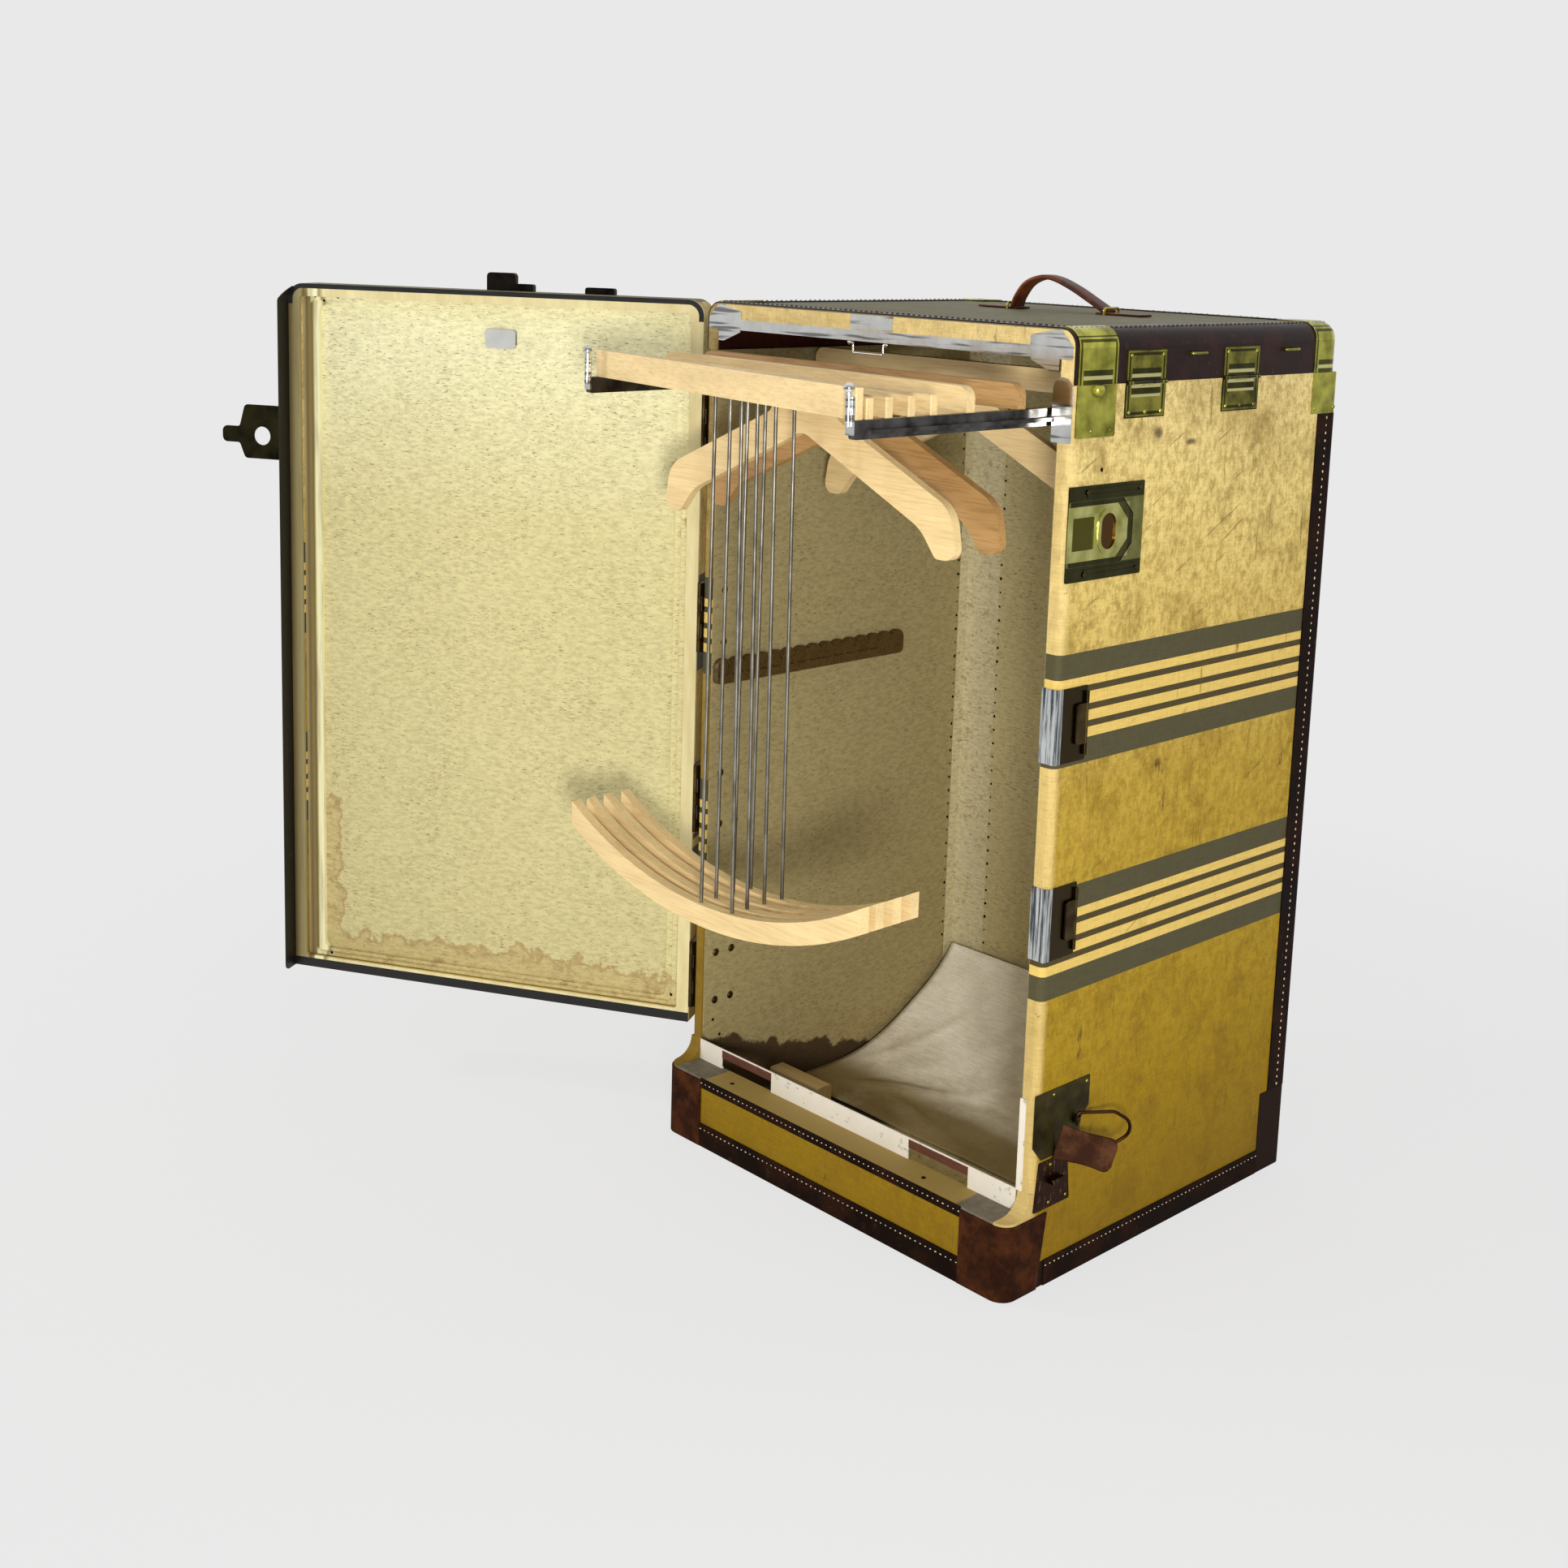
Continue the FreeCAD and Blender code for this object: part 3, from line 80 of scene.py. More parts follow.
class Bench:
    """Short ways to add and join the nodes of a material or of an effect."""

    def set(self, node, values):
        for key, value in values.items():
            socket = node.inputs[key if isinstance(key, int) else key.replace("_", " ")]
            if isinstance(value, bpy.types.NodeSocket):
                self.tree.links.new(value, socket)
            elif socket.type == "RGBA":
                socket.default_value = (*linear(value), 1.0)
            else:
                socket.default_value = value

    def add(self, kind, inputs=None, **settings):
        node = self.tree.nodes.new("ShaderNode" + kind)
        for key, value in settings.items():
            setattr(node, key, value)
        self.set(node, inputs or {})
        return node

    def math(self, operation, first, second=0.0):
        return self.add("Math", {0: first, 1: second}, operation=operation).outputs[0]

    def times(self, first, second):
        return self.math("MULTIPLY", first, second)

    def plus(self, first, second):
        return self.math("ADD", first, second)

    def minus(self, first, second):
        return self.math("SUBTRACT", first, second)

    def larger(self, first, second):
        return self.math("MAXIMUM", first, second)

    def above(self, value, limit):
        return self.math("GREATER_THAN", value, limit)

    def below(self, value, limit):
        return self.math("LESS_THAN", value, limit)

    def between(self, value, low, high):
        return self.times(self.above(value, low), self.below(value, high))

    def off(self, value, middle):
        """How far a value is from the middle, either way."""
        return self.math("ABSOLUTE", self.minus(value, middle))

    def tint(self, colour, code, mask, share):
        """Lays a web colour over a colour, through a share of the mask."""
        return self.mix(self.times(mask, share), colour, code)

    def mix(self, share, first, second, kind="MIX"):
        node = self.add("Mix", data_type="RGBA", blend_type=kind)
        self.set(node, {0: share, 6: first, 7: second})
        return node.outputs[2]

    def span(self, value, low, high):
        """0 below low and 1 above high, with a soft step between."""
        node = self.add("MapRange", interpolation_type="SMOOTHSTEP")
        self.set(node, {0: value, 1: low, 2: high, 3: 0.0, 4: 1.0})
        return node.outputs[0]

    def noise(self, scale, detail=3.0, roughness=0.55, shift=(0, 0, 0), lean=0.0):
        """Cloudy value; scale is per metre, one number or one for each direction, leaning by degrees."""
        scale = (scale,) * 3 if isinstance(scale, (int, float)) else scale
        vector = self.place
        if lean:
            leaned = self.add("Mapping", {"Vector": vector, "Rotation": (math.radians(lean), 0, 0)})
            vector = leaned.outputs[0]
        placed = self.add("Mapping", {"Vector": vector, "Location": shift, "Scale": scale})
        return self.add("TexNoise", {"Vector": placed.outputs[0], "Scale": 1.0, "Detail": detail,
                                     "Roughness": roughness}).outputs[0]

    def ramp(self, value, stops, interpolation="LINEAR"):
        node = self.add("ValToRGB", {0: value})
        node.color_ramp.interpolation = interpolation
        slots = node.color_ramp.elements
        while len(slots) < len(stops):
            slots.new(1.0)
        for slot, (place, colour) in zip(slots, stops):
            slot.position = place
            slot.color = (*linear(colour), 1.0)
        return node.outputs[0]


class Finish(Bench):
    """A material under construction."""

    def __init__(self, name, **settings):
        self.material = bpy.data.materials.new(name)
        self.material.use_nodes = True
        self.tree = self.material.node_tree
        self.shader = self.tree.nodes["Principled BSDF"]
        self.place = self.add("TexCoord").outputs["Object"]
        self.axes = self.add("SeparateXYZ", {0: self.place}).outputs
        self.set(self.shader, settings)

    def use(self, effect):
        node = self.add("Group", node_tree=effect.tree)
        self.set(node, {"Vector": self.place})
        return node.outputs

    def paint(self, colour, roughness=None, height=None, depth=0.0005, strength=0.5):
        self.set(self.shader, {"Base Color": colour})
        if roughness is not None:
            self.set(self.shader, {"Roughness": roughness})
        if height is not None:
            bump = self.add("Bump", {"Height": height, "Strength": strength, "Distance": depth})
            self.set(self.shader, {"Normal": bump.outputs[0]})
        return self.material


backdrop_colour = "E9E9E9"
world = bpy.data.worlds.new("studio")
bpy.context.scene.world = world
world.use_nodes = True
studio = Bench()
studio.tree = world.node_tree
soft = studio.tree.nodes["Background"]
studio.set(soft, {"Color": (1.0, 1.0, 1.0), "Strength": 0.62})
seen = studio.add("Background", {"Color": backdrop_colour})
ray = studio.add("LightPath").outputs
direct = studio.larger(ray["Is Camera Ray"], ray["Is Glossy Ray"])
choose = studio.add("MixShader", {0: direct, 1: soft.outputs[0], 2: seen.outputs[0]})
studio.set(studio.tree.nodes["World Output"], {0: choose.outputs[0]})

# the floor fades into the backdrop further out, so no horizon shows
floor_mesh = bpy.data.meshes.new("studio_floor")
floor_half = 30.0
floor_mesh.from_pydata([(-floor_half, -floor_half, 0), (floor_half, -floor_half, 0),
                        (floor_half, floor_half, 0), (-floor_half, floor_half, 0)], [], [(0, 1, 2, 3)])
floor = put("studio_floor", floor_mesh)
plain_share = 0.84                  # how much of the floor shows as plain backdrop
fade_start, fade_end = 0.75, 1.9
paper = Finish("floor_paper", Base_Color="EDEDED", Roughness=0.9)
paper_ray = paper.add("LightPath").outputs["Is Camera Ray"]
glow = paper.add("Emission", {"Color": backdrop_colour, "Strength": 1.0}).outputs[0]
evened = paper.add("MixShader", {0: paper.times(paper_ray, plain_share),
                                 1: paper.shader.outputs[0], 2: glow})
away = paper.add("VectorMath", {0: paper.place}, operation="LENGTH").outputs["Value"]
fade = paper.times(paper.span(away, fade_start, fade_end), paper_ray)
clear = paper.add("BsdfTransparent").outputs[0]
faded = paper.add("MixShader", {0: fade, 1: evened.outputs[0], 2: clear})
paper.set(paper.tree.nodes["Material Output"], {"Surface": faded.outputs[0]})
floor_mesh.materials.append(paper.material)


def lamp(name, place, aim, size, power, tint=(1.0, 1.0, 1.0)):
    """Square soft lamp that points at a spot on the trunk."""
    data = bpy.data.lights.new(name, "AREA")
    data.shape = "SQUARE"
    data.size = size
    data.energy = power
    data.color = tint
    lamp_object = put(name, data)
    lamp_object.location = place
    lamp_object.rotation_euler = (Vector(aim) - Vector(place)).to_track_quat("-Z", "Y").to_euler()


lamp("key_lamp", (1.98, -2.02, 0.86), (0.0, -0.1, 0.5), 0.32, 46, (1.0, 0.99, 0.96))
lamp("left_lamp", (-2.45, -2.0, 1.5), (-0.45, -0.3, 0.8), 0.22, 20)

# =====================================================================
# Canvas of the case, the door and the lid
# Painted cotton canvas, glued over plywood, yellowed and scuffed, with two
# woven sets of grey stripes round the trunk. It is darker towards the floor.
# =====================================================================
case_size = (0.557, 0.453)          # the case's width, and its depth from sill to back


def at(x, y, z):
    """Point in the scene, from millimetres off the left wall, the opening and the floor."""
    return Vector((x / 1000 - case_size[0] / 2, y / 1000 - case_size[1] / 2, z / 1000))


def across(x):
    return at(x, 0, 0)[0]


def deep(y):
    return at(0, y, 0)[1]


class Effect(Bench):
    """A shader node group that several materials share."""

    def __init__(self, name, *outputs):
        self.tree = bpy.data.node_groups.new(name, "ShaderNodeTree")
        self.tree.interface.new_socket(name="Vector", in_out="INPUT", socket_type="NodeSocketVector")
        for title in outputs:
            self.tree.interface.new_socket(name=title, in_out="OUTPUT", socket_type="NodeSocketFloat")
        self.place = self.tree.nodes.new("NodeGroupInput").outputs[0]
        self.result = self.tree.nodes.new("NodeGroupOutput")

    def give(self, **values):
        self.set(self.result, values)


def dress(material, *nodes):
    """Gives carried-over nodes a finish."""
    for node in nodes:
        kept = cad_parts[node].data.materials
        kept.clear()
        kept.append(material)


weave = Effect("woven_threads", "Height", "Slub")
upright = weave.noise((520, 520, 60), 2.0)
level = weave.noise((55, 55, 560), 2.0, shift=(3, 5, 1))
slub = weave.plus(upright, level)
axis = weave.add("SeparateXYZ", {0: weave.place}).outputs
turns_per_metre = 2 * math.pi / 0.0013
ridges = [weave.math("SINE", weave.times(axis[i], turns_per_metre)) for i in range(3)]
cloth_height = weave.plus(weave.plus(ridges[0], ridges[1]), ridges[2])
weave.give(Height=weave.plus(weave.times(cloth_height, 0.15), slub),
           Slub=weave.times(slub, 0.5))

soil = Effect("soil_and_scuffs", "Cloud", "Scuff")
cloud = soil.noise(9, 6.0, 0.62)
scuff_spots = soil.span(soil.noise(13, 2.0, 0.5, (2, 9, 4)), 0.58, 0.70)
scuff_lines = soil.span(soil.noise((60, 60, 22), 5.0, 0.7, (7, 1, 5)), 0.56, 0.66)
soil.give(Cloud=cloud, Scuff=soil.times(scuff_spots, scuff_lines))

# colour of the canvas at heights above the floor, in metres; darker towards the floor, partly dirt and partly
# painted shade
canvas_tones = ((0.0, "80640A"), (0.18, "9A7C0C"), (0.36, "AE9026"), (0.55, "BA9C3C"), (0.68, "D4B864"),
                (0.85, "E6CE82"), (1.0, "E8D292"))

# top edge of each stripe of a set in millimetres, with the number of its colour; the last is the foot
stripe_edges = ((706, 1), (679, 0), (669, 2), (662, 0), (649, 2), (642, 0), (630.5, 2), (623.5, 0),
                (612.6, 1), (585.6, None))
lower_set = 254.0                   # the second set lies this far below
set_foot, set_top = stripe_edges[-1][0], stripe_edges[0][0]
smudges = ((146.8, 927.7, 12, 11), (206.1, 915.9, 15, 5))    # middle, width and height of two dark rubs
lid_flat = 1.0372                   # above it lies the lid's flat top, in metres
lid_ceiling = 1.034
foot_line = 0.0297                  # below it the canvas is stained dark
stripe_colours = ("DEBE68", "514C34", "4C4228")


def canvas(name, front_edge, cover=None):
    """The canvas, with or without the painted highlight and brown jamb on the front edges round the opening;
    cover can paper over some of it.
    """
    cloth = Finish(name, Specular_IOR_Level=0.12)
    threads = cloth.use(weave)
    marks = cloth.use(soil)
    height = cloth.axes[2]
    ground = cloth.ramp(height, canvas_tones)
    mottle = cloth.noise((90, 90, 70), 9.0, 0.8, (4, 1, 6))
    ground = cloth.tint(ground, "86640E", cloth.span(mottle, 0.43, 0.60), 0.50)
    rubbed = cloth.span(cloth.noise((170, 170, 70), 6.0, 0.75, (9, 2, 7)), 0.54, 0.68)
    ground = cloth.tint(ground, "E6CC7C", cloth.times(rubbed, cloth.span(height, 0.1, 0.8)), 0.26)
    patches = cloth.noise((16, 16, 12), 6.0, 0.75, (8, 3, 1))
    ground = cloth.tint(ground, "70520A", cloth.span(patches, 0.48, 0.64), 0.40)
    if front_edge:
        # front edges: the right wall's pale edge is a painted highlight on its rounding, the left wall's jamb
        # is painted brown
        edge = cloth.span(cloth.axes[1], deep(16), deep(5))
        jamb = cloth.mix(cloth.below(cloth.axes[0], across(30)), "E2C888", "7C6028")
        ground = cloth.mix(cloth.times(edge, 0.6), ground, jamb)
    ground = cloth.tint(ground, "80601C", cloth.span(marks["Cloud"], 0.50, 0.74), 0.38)
    for drop in (0.0, lower_set):
        foot, top = (set_foot - drop) / 1000, (set_top - drop) / 1000
        share = cloth.add("MapRange", {0: height, 1: foot, 2: top, 3: 0.0, 4: 1.0}).outputs[0]
        stops = [((stripe_edges[i][0] - set_foot) / (set_top - set_foot),
                  stripe_colours[stripe_edges[i - 1][1]]) for i in range(len(stripe_edges) - 1, 0, -1)]
        ground = cloth.mix(cloth.between(height, foot, top), ground, cloth.ramp(share, stops, "CONSTANT"))
    top_paint = cloth.mix(mottle, "5E5A3E", "8E886A")
    ground = cloth.mix(cloth.above(height, lid_flat), ground, top_paint)
    ground = cloth.tint(ground, "5A3E1C", marks["Scuff"], 0.8)
    for lean, shift in ((0, (5, 2, 8)), (62, (1, 7, 3))):
        scored = cloth.noise((160, 160, 11), 3.0, 0.5, shift, lean)
        ground = cloth.tint(ground, "6A4C1C", cloth.span(scored, 0.68, 0.73), 0.5)
    for y, z, wide, tall in smudges:
        aside = cloth.math("DIVIDE", cloth.minus(cloth.axes[1], deep(y)), wide / 1000)
        raised = cloth.math("DIVIDE", cloth.minus(height, z / 1000), tall / 1000)
        off = cloth.add("CombineXYZ", {0: aside, 1: raised}).outputs[0]
        near = cloth.add("VectorMath", {0: off}, operation="LENGTH").outputs["Value"]
        smudge = cloth.times(cloth.minus(1.0, cloth.span(near, 0.2, 1.0)), cloth.span(mottle, 0.25, 0.45))
        ground = cloth.tint(ground, "5E4A30", smudge, 0.9)
    ground = cloth.mix(cloth.below(height, foot_line), ground, "1C0E06")
    shade = cloth.ramp(threads["Slub"], [(0.3, (0.78, 0.76, 0.72)), (0.55, (1.0, 1.0, 1.0)),
                                         (0.75, (1.12, 1.11, 1.07))])
    colour = cloth.mix(0.8, ground, shade, "MULTIPLY")
    rough = cloth.plus(cloth.times(marks["Cloud"], 0.3), 0.42)
    colour = cover(cloth, colour) if cover else colour
    return cloth.paint(colour, rough, threads["Height"], 0.0003, 0.3)


def edged(cloth, colour):
    """Worn grey-brown edging on the ledge's corners, above the leather caps."""
    aside = cloth.off(cloth.axes[0], across(278.5))
    corner = cloth.times(cloth.span(aside, 0.205, 0.209), cloth.span(cloth.axes[2], 0.0845, 0.0855))
    worn = cloth.mix(cloth.noise(110, 5.0, 0.7), "3E382C", "8A8270")
    ledge = cloth.times(cloth.span(cloth.axes[2], 0.0872, 0.0888), 0.6)
    return cloth.mix(corner, cloth.mix(ledge, colour, "A4905E"), worn)


def lid_inside(cloth, colour):
    """Inside, the lid is painted dark maroon: painted shade within it."""
    inner = cloth.below(cloth.axes[2], lid_ceiling)
    for axis, low, high in ((0, across(3), across(554)), (1, deep(3.5), deep(487))):
        inner = cloth.times(inner, cloth.between(cloth.axes[axis], low, high))
    # the dark maroon is painted shade
    maroon = cloth.mix(cloth.noise(60, 5.0, 0.7), "1C0804", "4A2018")
    return cloth.mix(inner, colour, maroon)


dress(canvas("canvas_case", True), "left_side", "right_side", "back_panel", "floor_board")
dress(canvas("canvas_lid", True, lid_inside), "lid_shell")
dress(canvas("canvas_base", False, edged), "base_sill")

# =====================================================================
# Lining of the case and the door
# Cream paper printed with short brown flecks, pasted over the boards. Water
# has left brown tide marks along its lower edges and in the corners.
# =====================================================================
door_pin = at(-2.6, -0.25, 0)
door_turn = math.radians(150)

paper_print = Effect("printed_flecks", "Fleck", "Pulp")
fleck_grid = paper_print.noise((150, 150, 780), 1.5, 0.5)
fleck_zone = paper_print.noise(16, 2.0, 0.5, (4, 4, 4))
paper_print.give(Fleck=paper_print.span(paper_print.plus(fleck_grid,
                                        paper_print.times(fleck_zone, 0.16)), 0.705, 0.78),
                 Pulp=paper_print.noise((90, 90, 240), 5.0, 0.65, (6, 2, 3)))


def lining(name, tones, near_edge, tide_strength=1.0):
    """The paper, in tones from floor to top; near_edge gives how close a point is to the stained edges."""
    sheet = Finish(name, Roughness=0.78, Specular_IOR_Level=0.25)
    printed = sheet.use(paper_print)
    cloudy = sheet.noise(34, 5.0, 0.6)
    edge = near_edge(sheet)
    wet = sheet.plus(sheet.times(cloudy, 0.9), sheet.times(edge, 0.62))
    stain = sheet.span(wet, 0.86, 0.92)
    tide = sheet.times(stain, sheet.minus(1.0, sheet.span(wet, 0.93, 1.02)))
    colour = sheet.ramp(sheet.axes[2], tones)
    colour = sheet.tint(colour, "C0B27A", sheet.noise(6, 4.0), 0.3)
    colour = sheet.tint(colour, "8A7040", printed["Fleck"], 0.7)
    colour = sheet.tint(colour, "B08E4C", stain, 0.32 * tide_strength)
    colour = sheet.tint(colour, "8A5E2A", tide, 0.35 * tide_strength)
    pulp = sheet.ramp(printed["Pulp"], [(0.34, (0.78, 0.77, 0.74)), (0.6, (1.10, 1.10, 1.08))])
    return sheet, sheet.mix(0.8, colour, pulp, "MULTIPLY"), printed["Pulp"]


def case_edges(sheet):
    low = sheet.minus(1.0, sheet.span(sheet.axes[2], 0.02, 0.16))
    corner = sheet.span(sheet.axes[1], deep(425), deep(470))
    return sheet.larger(low, sheet.times(corner, 0.42))


def door_axes(sheet):
    """Distance along the door from its pins, and out of its face."""
    turned = sheet.add("Mapping", {"Vector": sheet.place, "Rotation": (0, 0, door_turn),
                                   "Location": tuple(-(Matrix.Rotation(door_turn, 3, "Z") @ door_pin))})
    return sheet.add("SeparateXYZ", {0: turned.outputs[0]}).outputs


def door_edges(sheet):
    along = door_axes(sheet)[0]
    low = sheet.minus(1.0, sheet.span(sheet.axes[2], 0.155, 0.23))
    far = sheet.times(sheet.span(along, 0.475, 0.515),
                     sheet.minus(1.0, sheet.span(sheet.axes[2], 0.3, 0.52)))
    near = sheet.times(sheet.minus(1.0, sheet.span(along, 0.04, 0.09)), 0.5)
    return sheet.larger(low, sheet.larger(far, near))


sheet, colour, pulp = lining("lining_case", ((0.0, "BFB082"), (0.5, "CBBE92"), (1.0, "CBBE92")),
                             case_edges, 0.3)
# the left wall is browner than the back; low at the front left lies a dark painted shadow of the front rail,
# with a ragged edge
left_wall = sheet.below(sheet.axes[0], across(24))
colour = sheet.mix(sheet.times(left_wall, 0.85), colour, (0.60, 0.57, 0.50), "MULTIPLY")
ragged = sheet.plus(sheet.axes[2], sheet.times(sheet.noise(30, 4.0, 0.6), 0.04))
sloped = sheet.plus(ragged, sheet.times(sheet.minus(sheet.axes[1], deep(35)), 0.29))
painted_front_shadow = sheet.times(sheet.span(sloped, 0.131, 0.125), sheet.span(sheet.axes[0], across(230), across(180)))
colour = sheet.tint(colour, "2C1408", painted_front_shadow, 0.88)
dress(sheet.paint(colour, None, pulp, 0.0003, 0.35), "case_lining")
sheet, colour, pulp = lining("tape_paper", ((0.0, "CFC4A0"), (1.0, "DCD2B0")), case_edges, 0.5)
spotted = sheet.span(sheet.noise(85, 4.0, 0.65, (2, 2, 9)), 0.58, 0.66)
colour = sheet.tint(colour, "9A8058", spotted, 0.5)
dress(sheet.paint(colour, None, pulp, 0.0003, 0.35), "corner_tape")
sheet, colour, pulp = lining("lining_door", ((0.0, "C6BC8A"), (0.35, "CEC492"), (0.75, "D6CC98"),
                                             (0.97, "F0EBC0")), door_edges)
dress(sheet.paint(colour, None, pulp, 0.0003, 0.35), "door_lining")


# The moulded frame round the door's panel: cream on three sides; down its free
# side the taupe and brown steps are painted shade of the recess walls, with streaky wear.
def rim_steps(sheet, along):
    """Cream, taupe and brown steps down the door's free side, the taupe and brown being painted shade, with
    streaky wear; and where they begin.
    """
    share = sheet.add("MapRange", {0: along, 1: 0.510, 2: 0.560, 3: 0.0, 4: 1.0}).outputs[0]
    steps = sheet.ramp(share, [(0.0, "EFE6B0"), (0.16, "9A8E60"), (0.24, "F4EFC0"),
                               (0.44, "F0EABC"), (0.50, "8A7A4C"), (0.60, "6E5C38"),
                               (0.68, "A0946C"), (0.86, "8E8258"), (1.0, "5C4E30")])
    streaky = sheet.noise((120, 120, 9), 4.0)
    steps = sheet.tint(steps, "7A6A44", sheet.span(streaky, 0.45, 0.7), 0.4)
    return steps, sheet.span(along, 0.508, 0.514)


sheet, colour, pulp = lining("lining_frame", ((0.0, "D2C894"), (0.75, "DCD29E"), (0.97, "F0EBC0")),
                             door_edges)
steps, free_side = rim_steps(sheet, door_axes(sheet)[0])
dress(sheet.paint(sheet.mix(free_side, colour, steps), None, pulp, 0.0003, 0.35), "door_frame")


def turned_over(cloth, colour):
    """Round the rim of the door's shell the lining is turned over its canvas."""
    axes = door_axes(cloth)
    # the free side of the rim gets the same painted shade
    steps, free_side = rim_steps(cloth, axes[0])
    cream = cloth.mix(cloth.noise((60, 60, 14), 4.0, 0.6), "F2E8B8", "C2AE74")
    return cloth.mix(cloth.span(axes[1], -0.0045, -0.0035), colour, cloth.mix(free_side, cream, steps))


dress(canvas("canvas_door", False, turned_over), "door_shell")

# =====================================================================
# Leather bindings and their stitching
# Dark glazed leather, folded over the edges of the case and the lid and sewn
# down with waxed thread; the thread shows as a row of dots.
# =====================================================================
hide = Effect("leather_grain", "Height", "Shade")
pores = hide.add("TexVoronoi", {"Vector": hide.place, "Scale": 620.0}, feature="F1").outputs["Distance"]
creases = hide.noise(120, 6.0, 0.7)
hide.give(Height=hide.plus(hide.times(pores, 0.5), creases),
          Shade=hide.noise(22, 6.0, 0.65, (5, 5, 5)))


def leather(name, deep, worn, roughness, coat=0.0, shine=0.2):
    skin = Finish(name, Specular_IOR_Level=shine, IOR=1.35, Coat_Roughness=0.22)
    grain = skin.use(hide)
    colour = skin.mix(skin.span(grain["Shade"], 0.42, 0.68), deep, worn)
    rubbed = skin.span(skin.noise(75, 4.0, 0.7, (1, 2, 3)), 0.60, 0.70)
    colour = skin.tint(colour, "7A5238", rubbed, 0.16)
    skin.set(skin.shader, {"Coat Weight": coat})
    rough = skin.plus(skin.times(grain["Shade"], 0.3), roughness)
    return skin.paint(colour, rough, grain["Height"], 0.0005, 0.4)


dress(leather("binding_leather", "120703", "261208", 0.34, 0.0, 0.08), "base_binding", "rear_binding")
dress(leather("lid_band_leather", "190705", "2C110C", 0.16, 0.1, 0.2), "lid_binding")


def stud_tree():
    """Rows of small heads or stitches along edges, set on what they are fixed to."""
    tree = bpy.data.node_groups.new("rows_of_heads", "GeometryNodeTree")

    def socket(title, kind, way="INPUT"):
        tree.interface.new_socket(name=title, in_out=way, socket_type="NodeSocket" + kind)

    socket("Geometry", "Geometry")
    for title in ("Pitch", "Length", "Width", "Height", "Unevenness"):
        socket(title, "Float")
    socket("Fixed to", "Object")
    socket("Seed", "Int")
    socket("Finish", "Material")
    socket("Geometry", "Geometry", "OUTPUT")

    def add(kind, links=None, **settings):
        node = tree.nodes.new(kind)
        for key, value in settings.items():
            setattr(node, key, value)
        for key, value in (links or {}).items():
            if isinstance(value, bpy.types.NodeSocket):
                tree.links.new(value, node.inputs[key])
            else:
                node.inputs[key].default_value = value
        return node

    given = add("NodeGroupInput").outputs
    line = add("GeometryNodeMeshToCurve", {"Mesh": given["Geometry"]})
    spaced = add("GeometryNodeResampleCurve", {"Curve": line.outputs[0], "Length": given["Pitch"]},
                 mode="LENGTH")
    ground = add("GeometryNodeObjectInfo", {"Object": given["Fixed to"]}, transform_space="RELATIVE")
    nearest = add("GeometryNodeProximity", {0: ground.outputs["Geometry"]}, target_element="FACES")
    set_down = add("GeometryNodeSetPosition", {"Geometry": spaced.outputs[0],
                                               "Position": nearest.outputs["Position"]})
    out = add("GeometryNodeInputNamedAttribute", {"Name": "outward"}, data_type="FLOAT_VECTOR")
    along = add("GeometryNodeInputTangent")
    stand = add("FunctionNodeAlignRotationToVector", {"Vector": out.outputs[0]}, axis="Z")
    lie = add("FunctionNodeAlignRotationToVector", {"Rotation": stand.outputs[0],
                                                    "Vector": along.outputs[0]}, axis="X", pivot_axis="Z")
    less = add("ShaderNodeMath", {0: 1.0, 1: given["Unevenness"]}, operation="SUBTRACT")
    more = add("ShaderNodeMath", {0: 1.0, 1: given["Unevenness"]}, operation="ADD")
    vary = add("FunctionNodeRandomValue", {"Seed": given["Seed"]}, data_type="FLOAT")
    tree.links.new(less.outputs[0], vary.inputs[2])
    tree.links.new(more.outputs[0], vary.inputs[3])
    size = add("ShaderNodeCombineXYZ", {0: given["Length"], 1: given["Width"], 2: given["Height"]})
    scaled = add("ShaderNodeVectorMath", {0: size.outputs[0], "Scale": vary.outputs[1]}, operation="SCALE")
    head = add("GeometryNodeMeshUVSphere", {"Segments": 8, "Rings": 5, "Radius": 1.0})
    smooth = add("GeometryNodeSetShadeSmooth", {0: head.outputs["Mesh"]})
    placed = add("GeometryNodeInstanceOnPoints",
                 {"Points": set_down.outputs[0], "Instance": smooth.outputs[0],
                  "Rotation": lie.outputs[0], "Scale": scaled.outputs[0]})
    whole = add("GeometryNodeRealizeInstances", {0: placed.outputs[0]})
    made = add("GeometryNodeSetMaterial", {0: whole.outputs[0], "Material": given["Finish"]})
    result = tree.nodes.new("NodeGroupOutput")
    tree.links.new(made.outputs[0], result.inputs[0])
    return tree


heads_tree = stud_tree()


